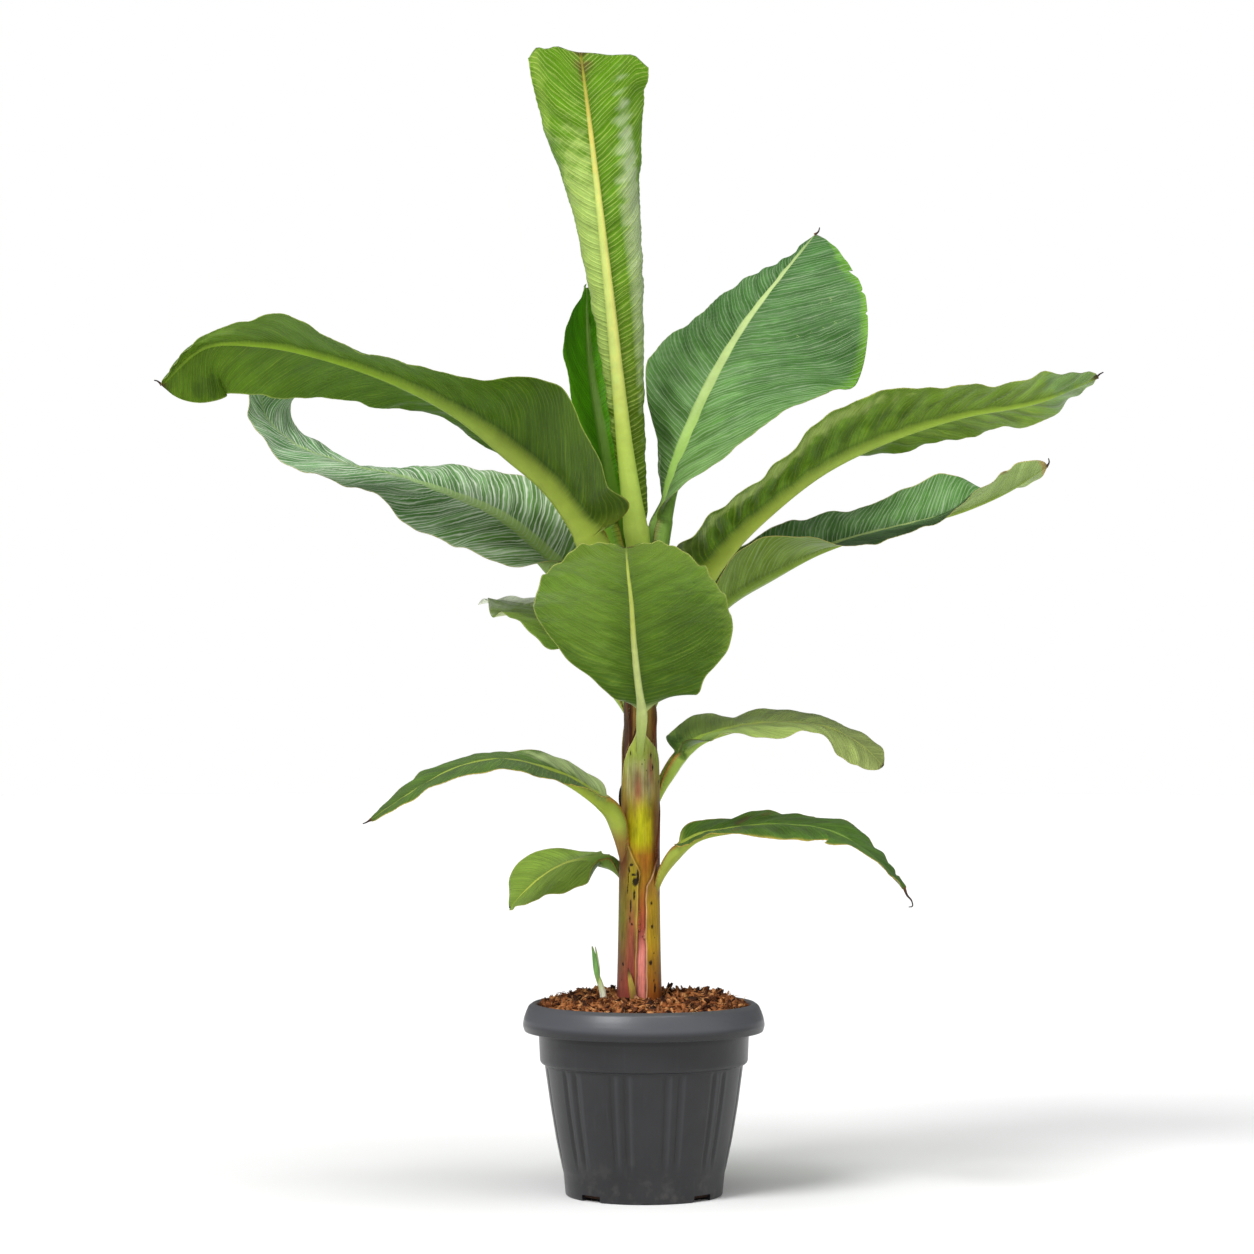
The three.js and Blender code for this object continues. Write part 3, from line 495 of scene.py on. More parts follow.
# Outermost first: where each leaf leaves the trunk in degrees from +X, its edges as [height,
# degrees reached to the left, to the right], its colour by height and its edge's colour.
SHEATHS = [
    (205, [(235, 53, 80), (380, 60, 76), (405, 65, 66), (425, 42, 40), (449, 19, 19), (470, 0, 0)],
     [(235, "a4524a"), (270, "96503c"), (300, "8a6236"), (345, "8c842a"), (375, "8e7a2c"), (400, "85642f"),
      (440, "7f6f36")], "dfae58"),
    (140, [(235, 60, 78), (340, 58, 70), (375, 42, 48), (392, 24, 26), (410, 0, 0)],
     [(235, "7d4434"), (300, "8a7034"), (400, "8c8a3c")], "b98b52"),
    (335, [(235, 84, 48), (370, 74, 48), (386, 54, 47), (396, 32, 31), (408, 18, 19), (425, 0, 0)],
     [(235, "a44e20"), (275, "a8701a"), (320, "b8941c"), (365, "a8861c"), (395, "96682c"), (425, "8c7038")],
     "dcae84"),
    (30, [(235, 80, 80), (440, 64, 60), (470, 44, 42), (490, 20, 20), (512, 0, 0)],
     [(235, "7a4a33"), (380, "7c5a3a"), (450, "7a5b4b"), (500, "7f8a45")], "8c5a3a"),
    (270, [(235, 85, 85), (500, 88, 74), (543, 84, 56), (556, 66, 40), (566, 36, 26), (576, 16, 14),
           (590, 6, 6), (600, 0, 0)],
     [(235, "ee8c7a"), (300, "ec9084"), (335, "b8543e"), (365, "a35c24"), (400, "9c7214"), (425, "a06a18"),
      (445, "b4a60c"), (470, "a8981a"), (515, "8c7a30"), (545, "93a040"), (590, "a8ba58")], "d8c488"),
    (130, [(235, 85, 85), (520, 74, 74), (560, 52, 52), (585, 28, 28), (610, 0, 0)],
     [(235, "6a4030"), (480, "6d4f33"), (560, "8f9a45"), (600, "9cb34c")], "a98a4a"),
    (32, [(235, 85, 85), (530, 76, 80), (575, 56, 60), (600, 28, 28), (625, 0, 0)],
     [(235, "6a4030"), (500, "714a3c"), (560, "7d6442"), (610, "8fa048")], "7d4c3a"),
    (152, [(235, 85, 85), (590, 76, 76), (630, 54, 54), (655, 28, 28), (680, 0, 0)],
     [(235, "6a4030"), (540, "5a3a2b"), (600, "7c6a3e"), (660, "8da14a")], "86633c"),
    (330, [(235, 85, 85), (590, 80, 76), (630, 56, 54), (655, 28, 28), (680, 0, 0)],
     [(235, "6a4030"), (540, "74501f"), (600, "7c6420"), (660, "8fa84c")], "8a5f3e"),
    (215, [(235, 85, 85), (640, 76, 76), (680, 54, 54), (705, 28, 28), (730, 0, 0)],
     [(235, "5c3a2a"), (560, "42200c"), (600, "5c3e14"), (700, "8da64a")], "8a6a44"),
    (128, [(235, 90, 90), (690, 78, 78), (730, 54, 54), (755, 30, 30), (780, 0, 0)],
     [(235, "6a4030"), (600, "7d7a40"), (700, "8aa848")], "94934a"),
    (38, [(235, 95, 95), (680, 84, 84), (725, 58, 58), (750, 32, 32), (775, 0, 0)],
     [(235, "6a4030"), (600, "80803f"), (700, "9db85a")], "a6b070"),
]
HEART_TONES = [(235, "8a4a40"), (560, "44220f"), (680, "8a9c44"), (790, "a3bf58")]
SCARS = [  # dark marks as degrees from +X, height, half width and half height
    (305, 365, 1.9, 2.4), (306, 336, 1.8, 2.6), (316, 322, 1.0, 1.3), (248, 339, 1.5, 1.8),
    (276, 324, 0.9, 1.2), (221, 289, 1.8, 2.6), (310, 269, 1.2, 1.6), (315, 278, 1.2, 1.2),
    (312, 303, 1.1, 1.6), (313, 259, 2.0, 7.0), (300, 291, 3.0, 3.2), (244, 362, 1.2, 9.0),
    (242, 345, 1.0, 5.0), (257, 392, 4.6, 6.0), (264, 400, 1.8, 8.0), (252, 401, 3.2, 1.8),
    (245, 413, 2.6, 2.2), (239, 407, 1.3, 5.0), (236, 396, 0.9, 8.0), (234, 383, 0.8, 6.0),
    (254, 376, 1.6, 7.0),
    (344, 516, 2.0, 2.6), (305, 549, 1.2, 4.0), (311, 534, 1.2, 5.0), (240, 552, 0.9, 3.0),
    (20, 330, 2.2, 4.0), (60, 290, 3.0, 5.0), (95, 410, 2.6, 8.0), (120, 320, 1.6, 2.0),
    (75, 480, 2.0, 6.0), (170, 300, 2.4, 3.0), (180, 500, 1.8, 7.0), (100, 560, 2.0, 5.0),
    (352, 300, 2.0, 3.4), (10, 440, 1.6, 6.0), (150, 620, 1.6, 5.0), (60, 640, 1.6, 6.0),
]


def wobble(a, b, seed):
    """An uneven but repeatable value about 0 at each place."""
    return (np.sin(a * 1.3 + seed) * np.cos(b * 1.7 - seed) + np.sin(a * 2.9 - b * 1.1 + 2 * seed)
            + 0.5 * np.sin(a * 5.3 + b * 4.1 + 3 * seed)) / 2.5


def tones_at(tones, x):
    at = [t[0] for t in tones]
    codes = np.array([colour(t[1]) for t in tones])
    return np.stack([np.interp(x, at, codes[:, k]) for k in range(3)], axis=-1)


def blend(first, second, share):
    return first + (second - first) * share[..., None]


def sheaths_at(degrees, height):
    """How far the outermost sheath stands out from the trunk's outline at each place, and its
    colour."""
    radius = np.interp(height, STEM_RADIUS[:, 0], STEM_RADIUS[:, 1])
    tint = tones_at(HEART_TONES, height)
    level = np.full(height.shape, -SHEATH_DEEPEST)
    for k in reversed(range(len(SHEATHS))):
        azimuth, edges, tones, edge_tone = SHEATHS[k]
        keys = np.array(edges, float)
        round_by = (degrees - azimuth + 180) % 360 - 180
        left = np.interp(height, keys[:, 0], keys[:, 1])
        right = np.interp(height, keys[:, 0], keys[:, 2])
        uneven = 1.6 * wobble(height * 0.05, round_by * 0.01, k)
        inside = np.minimum(left - round_by, right + round_by) + uneven
        inside = np.radians(inside) * radius  # millimetres in from the sheath's edge
        inside = np.where(height > keys[-1, 0], -9, inside)
        outer = sum(1 - smooth(s[1][-1][0] - 40, s[1][-1][0], height) for s in SHEATHS[:k])
        step = -np.minimum(SHEATH_STEP * outer, SHEATH_DEEPEST)
        cover = smooth(-0.5, 0.5, inside)
        own = tones_at(tones, height)
        flush = smooth(0.6, 1.0, np.abs(wobble(height * 0.016, round_by * 0.05, k + 7)))
        own = blend(own, colour("7b4236"), 0.5 * flush)
        own = blend(own, colour(edge_tone), 0.9 * (1 - smooth(0.5, 1.7, inside)))
        painted_edge_shade = smooth(-4.0, -0.5, inside) * (1 - cover)  # painted shade just outside the sheath's edge
        tint = blend(tint * (1 - 0.6 * painted_edge_shade)[..., None], own, cover)
        level = level + (step + 0.6 * (1 - smooth(0.4, 2.6, inside)) - level) * cover
    return level, tint


HOOD = np.array([[543, 74], [556, 56], [566, 36], [576, 20], [590, 9], [604, 0]])  # height, degrees


def plateau(start, full, fades, end, x):
    """1 from full to fades, falling off to 0 at start and at end."""
    return smooth(start, full, x) * (1 - smooth(fades, end, x))


def dab(round_by, height, middle, spread):
    """A soft patch on the trunk. Middle and spread are degrees from the front, then height."""
    return np.exp(-((round_by - middle[0]) / spread[0]) ** 2 - ((height - middle[1]) / spread[1]) ** 2)


def trunk_paint(degrees, height):
    """The trunk's colour: the sheaths', with what the front shows, painted shade towards its sides and the
    scars drawn over it.
    """
    level, tint = sheaths_at(degrees, height)
    round_by = (degrees - 270 + 180) % 360 - 180  # degrees from the front, more to the right
    off_front = abs(round_by)
    red = (1 - smooth(330, 395, height)) * plateau(-52, -26, -16, -10, round_by)
    bloom = plateau(478, 510, 530, 556, height) * (1 - smooth(30, 62, off_front))
    bloom = bloom * (0.5 + 0.5 * wobble(round_by * 0.22, height * 0.006, 3))
    hood = np.interp(height, HOOD[:, 0], HOOD[:, 1])  # half width of the front sheath's pointed top
    # above the front sheath's hood the next sheath's browns show, painted nearly black on the left as
    # painted shade
    above = smooth(hood + 1, hood + 5, off_front) * smooth(545, 556, height)
    above = above * (1 - smooth(80, 90, off_front))
    shaded = smooth(24, 32, -round_by)
    right = round_by > 0
    rosy = dab(round_by, height, (-6, 505), (14, 26)) + dab(round_by, height, (34, 533), (12, 20))
    gold = np.exp(-((round_by - 4) / 24) ** 2) * plateau(420, 448, 470, 505, height)
    # dark brown towards both sides between heights 390 and 520, partly the sheath's colour and partly
    # painted shade
    umber_and_side_shade = smooth(28, 50, off_front) * plateau(390, 420, 470, 520, height) * (off_front < 90)
    for code, share in (
            ("98463a", 0.8 * red),
            ("c3c8ae", 0.45 * bloom),
            ("3c1a0e", 0.8 * above * shaded),
            ("8a6a34", 0.65 * above * (1 - shaded) * (round_by < 0)),
            ("6e5a28", 0.75 * above * right * (1 - smooth(36, 50, round_by))),
            ("5a2a18", 0.7 * above * smooth(40, 54, round_by)),
            ("8c4e38", 0.85 * np.clip(rosy, 0, 1)),
            ("b4b810", 0.65 * gold),
            ("93501a", 0.6 * dab(round_by, height, (14, 412), (16, 16))),
            ("a89a14", 0.8 * dab(round_by, height, (-20, 396), (16, 22))),
            ("6a2c12", 0.8 * umber_and_side_shade)):
        tint = blend(tint, colour(code), share)
    side_shade = 1 - 0.3 * plateau(48, 84, 96, 130, off_front)  # painted shade: the trunk's sides are darker
    tint = tint * side_shade[..., None]
    radius = np.interp(height, STEM_RADIUS[:, 0], STEM_RADIUS[:, 1])
    for azimuth, at, wide, tall in SCARS:
        across = np.radians((degrees - azimuth + 180) % 360 - 180) * radius
        ragged = 0.35 * wobble(across * 1.4, height * 1.1, azimuth)
        away = np.hypot(across / wide, (height - at) / tall) + ragged
        tint = blend(tint, colour("180e0a"), 0.96 * (1 - smooth(0.8, 1.0, away)))
    return level, tint


STEM_AROUND = 240
STEM_FOOT, STEM_TOP = 235.05, 790
heights = np.concatenate([[STEM_FOOT], np.arange(STEM_FOOT, 560, 1.5),
                          np.arange(560, STEM_TOP + 0.1, 2.2), [STEM_TOP]])
turn = np.linspace(0, 360, STEM_AROUND, endpoint=False)
degrees, height = np.meshgrid(turn, heights)
level, tint = trunk_paint(degrees, height)
reach = np.interp(height, STEM_RADIUS[:, 0], STEM_RADIUS[:, 1]) + level
reach[0] = reach[-1] = 0
rings = np.stack([STEM_AXIS[0] + reach * np.cos(np.radians(degrees)),
                  STEM_AXIS[1] + reach * np.sin(np.radians(degrees)), height], axis=2)
trunk = skin("pseudostem_sheaths", rings, {"tint": tint})


def sheath_look(finish, tint, share=1.0):
    """Fibres and mottling along the sheath, and small dark specks, over the painted colour."""
    fibres = finish.noise(finish.place((1, 1, 0.05)), 700, 3, 0.6)
    mottle = finish.noise(finish.place((1, 1, 0.35)), 90, 4, 0.6)
    specks = finish.node("ShaderNodeTexVoronoi", None, {"Vector": finish.place((1, 1, 0.7)), "Scale": 150})
    patches = finish.noise(finish.place(), 28, 2).between(0.5, 0.62)
    tone = finish.brighter(tint, fibres * 0.9 + mottle * 1.6 - 0.27)
    dark = specks.between(0.16, 0.09) * patches * 0.75 * share
    tone = finish.mix(dark, tone, solid_colour("2a1810"))
    return tone, fibres, mottle


stem_sheath = Finish("stem_sheath", Specular_IOR_Level=0.14)
tone, fibres, mottle = sheath_look(stem_sheath, stem_sheath.painted("tint"))
stem_sheath.feed("Base Color", tone)
stem_sheath.feed("Roughness", mottle * 0.3 + 0.3)
stem_sheath.bump(fibres + mottle * 0.6, 0.0005)
hand_over(trunk, "pseudostem", stem_sheath)


# ---- leaves ----------------------------------------------------------------------------
# Each leaf is one closed skin from its foot on the trunk to the tip: a thick channelled stalk, a
# midrib that stands out below, and a thin blade ribbed by its side veins. The rule and the first
# leaf, the lowest on the left, come here; the others follow, outermost first.

GAP = 0.3
STATION = 2.2  # spacing of the cross rings along a leaf
KEEL = 1.7  # depth of the midrib below the blade, in midrib half widths
CHANNEL = 1.35  # half width of the stalk's channel, in midrib half widths
STALK_TILT, STALK_CURL = 48, 30  # how the channel's wings stand up, in degrees
FOOT_BLEND = 55  # length over which the foot's hug lets go of the trunk
FOOT_SUNK = 4.6  # how deep the foot starts inside the trunk's skin
VEIN_PITCH = 9.0  # spacing of the strong side veins
LINE_PITCH = 6.0  # spacing of the fine pale lines drawn along them
PLEAT_PITCH = 31.0  # spacing of the broad folds that run with them
VEIN_BEND = 0.0012  # how much more a side vein sweeps back the further out it is
BLADE_THICK = 0.55  # at the margin, with MIDDLE_THICK more at the midrib
MIDDLE_THICK = 0.5
STALK_THICK = 2.6  # more again on the stalk's wings
RIB_COLUMNS = np.array([0, 0.3, 0.55, 0.78, 1.0])
BLADE_COLUMNS = 11


def keyed(keys, t):
    """Value of evenly spaced keys at t from 0 to 1, on a smooth curve through them."""
    keys = np.asarray(keys, float)
    if len(keys) == 1:
        return np.full(t.shape, keys[0])
    at = np.clip(t, 0, 1) * (len(keys) - 1)
    i = np.minimum(at.astype(int), len(keys) - 2)
    f = at - i
    a, b, c = keys[np.maximum(i - 1, 0)], keys[i], keys[i + 1]
    d = keys[np.minimum(i + 2, len(keys) - 1)]
    rise, fall = (c - a) / 2, (d - b) / 2
    return b + rise * f + (3 * (c - b) - 2 * rise - fall) * f ** 2 + (2 * (b - c) + rise + fall) * f ** 3


def midrib_line(points, up):
    """Finely spaced places along the midrib: how far along, the place, and the three axes there."""
    points = np.array(points, float)
    spans = np.linalg.norm(np.diff(points, axis=0), axis=1)[:, None]
    slopes = np.diff(points, axis=0) / spans
    inner = (slopes[:-1] * spans[1:] + slopes[1:] * spans[:-1]) / (spans[:-1] + spans[1:])
    tangents = np.concatenate([slopes[:1], inner, slopes[-1:]])
    t = np.arange(1, 41)[:, None] / 40
    line = [points[:1]]
    for k in range(len(spans)):
        line.append(points[k] * (2 * t ** 3 - 3 * t ** 2 + 1)
                    + tangents[k] * spans[k] * (t ** 3 - 2 * t ** 2 + t)
                    + points[k + 1] * (3 * t ** 2 - 2 * t ** 3)
                    + tangents[k + 1] * spans[k] * (t ** 3 - t ** 2))
    line = np.concatenate(line)
    along = np.gradient(line, axis=0)
    along /= np.linalg.norm(along, axis=1)[:, None]
    ups = np.zeros_like(line)
    normal = np.array(up, float)
    for k, forward in enumerate(along):
        normal = normal - forward * normal.dot(forward)
        normal = normal / np.linalg.norm(normal)
        ups[k] = normal
    steps = np.linalg.norm(np.diff(line, axis=0), axis=1)
    length = np.concatenate([[0], np.cumsum(steps)])
    return length, line, along, ups, np.cross(along, ups)


def half_blade(leaf, half, s, total, heights):
    """Width in millimetres, tilt and curl of one half, and the share of the blade behind, at each
    length s from the foot."""
    u = (s - leaf["blade_from"]) / (total - leaf["blade_from"])
    base, tip = leaf["round"]
    from_base = 1 - np.clip(u / base, 0, 1)
    from_tip = 1 - np.clip((1 - u) / tip, 0, 1) if tip else np.zeros_like(u)
    ends = np.sqrt(1 - from_base ** 2) * np.sqrt(np.clip(1 - from_tip ** 2, 0, 1))
    wing = leaf.get("stalk_look", leaf["stalk"]) * CHANNEL * (1 - smooth(0, 0.9, u))
    blade = np.where(u > 0, keyed(half["wide"], u) * ends, 0)
    in_blade = smooth(-0.04, 0.07, u)
    tilt, curl = np.full_like(s, STALK_TILT), np.full_like(s, STALK_CURL)
    if leaf["foot"]:
        azimuth, low, high = leaf["foot"]
        hug = high - low
        free = smooth(hug * 0.75, hug + FOOT_BLEND, s)
        radius = np.interp(low + s, STEM_RADIUS[:, 0], STEM_RADIUS[:, 1])
        reach = next(r for r in SHEATHS if r[0] == azimuth)[1]
        keys = np.array(reach, float)
        side = 1 if half is leaf["left"] else 2
        held = np.radians(np.interp(heights, keys[:, 0], keys[:, side])) * radius
        held = np.clip(held, wing * 0.9, radius * 1.15)
        wing = held + (wing - held) * smooth(hug * 0.35, hug * 0.85, s)
        wrap = np.degrees(wing / (radius + GAP))
        tilt = STALK_TILT * free
        curl = wrap + (STALK_CURL - wrap) * free
    for side, at, wide, deep, lean in leaf.get("nicks", ()):
        if half is leaf[side]:
            off = (s - at) / wide - lean
            shape = np.where(off < 0, 1 + off / (1 + lean), 1 - off / (1 - lean))
            blade = blade - deep * np.clip(shape, 0, 1)
    tilt = tilt + (keyed(half["tilt"], u) - tilt) * in_blade
    curl = curl + (keyed(half["curl"], u) - curl) * in_blade
    return np.maximum(np.maximum(wing, blade), 1.6), np.radians(tilt), np.radians(curl), u


def grow_leaf(leaf):
    """The leaf's skin, painted: what each point carries is its colour, its place among the veins
    and which face it is on."""
    spine = list(leaf["spine"])
    if leaf["foot"]:
        azimuth, low, high = leaf["foot"]
        a = math.radians(azimuth)
        for z in (high, low):
            r = np.interp(z, STEM_RADIUS[:, 0], STEM_RADIUS[:, 1]) + GAP + 0.1
            spine.insert(0, [STEM_AXIS[0] + r * math.cos(a), STEM_AXIS[1] + r * math.sin(a), z])
        up = (-math.cos(a), -math.sin(a), 0)
    else:
        spine.insert(0, [STEM_AXIS[0], leaf["stalk"] * 0.5, STEM_TOP + GAP + 0.1])
        up = (0, 1, 0)  # the spear rolls up behind its midrib
    length, line, along, ups, sides = midrib_line(spine, up)
    total = length[-1]
    stalk = leaf.get("stalk_look", leaf["stalk"])
    count = int(total / STATION)
    s = np.linspace(0, total, count)
    place, forward, up, side = (np.stack([np.interp(s, length, v[:, k]) for k in range(3)], 1)
                                for v in (line, along, ups, sides))
    seed = len(leaf["name"]) + leaf["stalk"] + total
    foot_fade = np.ones_like(s)
    if leaf["foot"]:  # the foot comes out of the trunk's skin instead of ending on it
        foot_fade = smooth((high - low) * 0.5, high - low + 60, s)
        place = place + up * (FOOT_SUNK * (1 - foot_fade))[:, None]

    rib_swell = 0.3 + 0.7 * foot_fade
    halves = {}
    for name, sign in (("left", -1), ("right", 1)):
        half = leaf[name]
        wide, tilt, curl, u = half_blade(leaf, half, s, total, place[:, 2])
        in_blade = smooth(0.0, 0.12, u)
        rib = np.maximum(stalk * rib_swell * (1 - 0.85 * np.clip(u, 0, 1) ** 0.8), 0.7)
        inner = np.minimum(rib * CHANNEL / wide, 0.5)[:, None]
        rim = leaf.get("rim", 1.6)
        edge = 1 - np.minimum(rim / wide, 0.2)[:, None]
        steps = np.linspace(0, 1, BLADE_COLUMNS + 1)[1:]
        q = np.concatenate([inner * RIB_COLUMNS, inner + (edge - inner) * steps, edge * 0 + 1], axis=1)
        dq = np.diff(q, axis=1)
        angle = tilt[:, None] + curl[:, None] * (q[:, 1:] + q[:, :-1]) / 2
        # waves along the margin turn the outer part of the blade up and down
        wave_high, wave_long = leaf["wave"]
        phase = s / wave_long * 2 * np.pi + seed + (2.1 if sign > 0 else 0)
        swing = 0.6 * np.sin(phase) + 0.4 * np.sin(phase * 1.83 + 1.3) + 0.3 * np.sin(phase * 0.47)
        lift = wave_high * in_blade * (1 - smooth(0.93, 1.0, u)) * swing
        flat = dq * wide[:, None]
        x = np.concatenate([np.zeros((count, 1)), np.cumsum(flat * np.cos(angle), 1)], 1)
        y = np.concatenate([np.zeros((count, 1)), np.cumsum(flat * np.sin(angle), 1)], 1)
        slope = tilt[:, None] + curl[:, None] * q
        slope[:, 0] = 0
        from_rib = q * wide[:, None]
        raised = lift[:, None] * np.clip((q - inner) / (1 - inner), 0, 1) ** 2
        # side veins: each leaves the midrib and sweeps towards the tip
        sweep_base, sweep_tip = leaf["sweep"]
        lean = sweep_base + (sweep_tip - sweep_base) * np.clip(u, 0, 1)[:, None]
        vein = s[:, None] - from_rib * lean - VEIN_BEND * from_rib ** 2
        on_blade = smooth(1.0, 1.6, from_rib / np.maximum(rib[:, None], 1)) * in_blade[:, None]
        corrugated = leaf.get("ribbed", 0.16) * on_blade * np.cos(vein / VEIN_PITCH * 2 * np.pi)
        corrugated = corrugated * (0.6 + 0.4 * wobble(s[:, None] * 0.02, from_rib * 0.03, seed))
        fold = np.cos(vein / PLEAT_PITCH * 2 * np.pi + 2 * np.sin(vein * 0.021 + seed))
        fold = fold * np.clip(0.3 + from_rib / 40, 0, 1) * (1 - 0.85 * smooth(0.55, 0.97, q))
        corrugated = corrugated + leaf.get("pleats", 0.6) * on_blade * fold
        buckle = leaf.get("buckle", 1.2) * on_blade * wobble(vein * 0.045, from_rib * 0.035, seed + sign)
        close = np.clip(1 - (from_rib / (rib[:, None] * CHANNEL)) ** 2, 0, 1)
        groove = -0.14 * rib[:, None] * close
        upper = raised + corrugated + buckle + groove
        thin = BLADE_THICK + MIDDLE_THICK * np.clip(1 - q, 0, 1)
        thin = thin + (STALK_THICK * (1 - smooth(-0.02, 0.12, u)) * foot_fade)[:, None] * (1 - 0.6 * q)
        keel = rib[:, None] * KEEL * np.sqrt(close) * (0.25 + 0.75 * foot_fade[:, None])
        lower = raised + corrugated + buckle - np.maximum(thin, keel)
        closing = smooth(0, 8, s)[:, None] * smooth(0, 5, total - s)[:, None]
        upper_h = lower + (upper - lower) * closing
        rise = keyed(leaf.get("end", {}).get(name, [0]), q) + 0 * q
        rise = rise * smooth(total - 90, total, s)[:, None] ** 1.5
        across = sign * side
        faces = []
        for h in (upper_h, lower):
            out = np.maximum(x - h * np.sin(slope), x * 0.3)
            faces.append(place[:, None] + across[:, None] * out[..., None]
                         + up[:, None] * (y + h * np.cos(slope))[..., None]
                         + forward[:, None] * rise[..., None])
        # painted light and shade: the tint is lighter and darker along the broad folds
        shaded = 1 + 0.13 * leaf.get("pleats", 0.6) * fold * on_blade
        halves[name] = dict(faces=faces, from_rib=from_rib, vein=vein, wide=wide, rib=rib, q=q, u=u,
                            shaded=shaded)

    rings, painting = [], {"tint": [], "blade": [], "face": []}
    for face in (0, 1):
        for name, sign in (("left", -1), ("right", 1)) if face == 0 else (("right", 1), ("left", -1)):
            h = halves[name]
            skip_middle = name == ("right" if face == 0 else "left")
            columns = np.arange(h["q"].shape[1])
            if (name == "left") == (face == 0):
                columns = columns[::-1]
            if skip_middle:
                columns = columns[1:]
            rings.append(h["faces"][face][:, columns])
            x = h["from_rib"][:, columns]
            m = h["wide"][:, None] - x
            ribness = 1 - smooth(1.0, 1.22, x / h["rib"][:, None])
            tint, wax = paint_leaf(leaf, face, name, s, h["u"], x, m, ribness,
                                   h["faces"][face][:, columns], h["wide"], seed)
            painting["tint"].append(tint * h["shaded"][:, columns, None])
            painting["blade"].append(np.stack([h["vein"][:, columns], x, m], axis=2))
            painting["face"].append(np.stack([np.full(x.shape, float(face)), wax, ribness], axis=2))
    rings = np.concatenate(rings, axis=1)
    painting = {key: np.concatenate(value, axis=1) for key, value in painting.items()}
    return skin(leaf["name"] + "_skin", rings, painting)


def along_tones(tones, u):
    """Colour along the blade: one code, or codes at places from 0 to 1."""
    if isinstance(tones, str):
        tones = [(0, tones)]
    return tones_at(tones, u)


def paint_leaf(leaf, face, side, s, u, x, m, ribness, spots, wide, seed):
    """Colour and wax of one half of one face, where x is how far out from the midrib each point
    is, m how far in from the margin, and u and s how far along."""
    look = leaf["look"]
    u2 = np.broadcast_to(u[:, None], x.shape)
    s2 = np.broadcast_to(s[:, None], x.shape)
    tint = along_tones(look["under" if face else "upper"], u2)
    shade = 1 + 0.10 * wobble(s2 * 0.018, x * 0.022 * (1 if side == "left" else -1), seed)
    tint = tint * shade[..., None]
    rib_tone = along_tones(look["rib_under" if face else "rib"], u2)
    stalk_tone = along_tones(look["stalk"], np.clip(s2 / max(leaf["blade_from"], 1), 0, 1))
    rib_valley_shade = np.exp(-(x / 15) ** 2) * smooth(0.0, 0.1, u2)
    tint = tint * (1 - 0.22 * rib_valley_shade)[..., None]  # painted shade where the blade dips beside the midrib
    tint = blend(tint, rib_tone, ribness * (1 - 0.6 * smooth(0.8, 1.0, u2)))
    bare = 1 - smooth(-0.01, 0.035, u2) * smooth(0.0, 1.0, 1 - ribness) - smooth(0.1, 0.45, u2) * ribness
    # painted light and shade: the stalk is lighter down its middle and darker at its edges
    stalk_light_and_shade = 1.14 - 0.4 * np.clip(x / wide[:, None], 0, 1) ** 2
    tint = blend(tint, stalk_tone * stalk_light_and_shade[..., None], np.clip(bare, 0, 1))
    edge = 1 - smooth(0.1, leaf.get("rim", 1.6), m)
    tint = blend(tint, colour(look["margin"]), 0.85 * edge * smooth(0, 0.04, u2))
    wing_edge = (1 - smooth(0.5, 1.9, m)) * (1 - smooth(-0.02, 0.06, u2))
    tint = blend(tint, colour(look["wing"]), 0.8 * wing_edge)
    for (patch_side, at, out, patch_face), spread, code, strength in look.get("patches", ()):
        if patch_side in (side, "both") and patch_face in (face, 2):
            share = x / wide[:, None]
            away = ((u2 - at) / spread[0]) ** 2 + ((share - out) / spread[1]) ** 2
            ragged = 0.3 * wobble(s2 * 0.12, x * 0.12, seed + at * 10)
            tint = blend(tint, colour(code), strength * (1 - smooth(0.6, 1.1, np.sqrt(away) + ragged)))
    tip = smooth(look.get("tip_from", 0.985), 1.0, u2) * np.exp(-(x / 10) ** 2)
    tint = blend(tint, colour("4a2f1a"), tip)
    if leaf["foot"]:
        hug = leaf["foot"][2] - leaf["foot"][1]
        across, out = spots[..., 0] - STEM_AXIS[0], spots[..., 1] - STEM_AXIS[1]
        degrees = np.degrees(np.arctan2(out, across)) % 360
        held = trunk_paint(degrees, spots[..., 2])[1]
        tint = blend(tint, held, 1 - smooth(hug * 0.75, hug * 1.15 + 12, s2))
    wax = np.full(x.shape, float(look.get("wax", (0, 0))[face]))
    return tint, wax * (1 - 0.7 * ribness) * smooth(0, 0.08, u2)


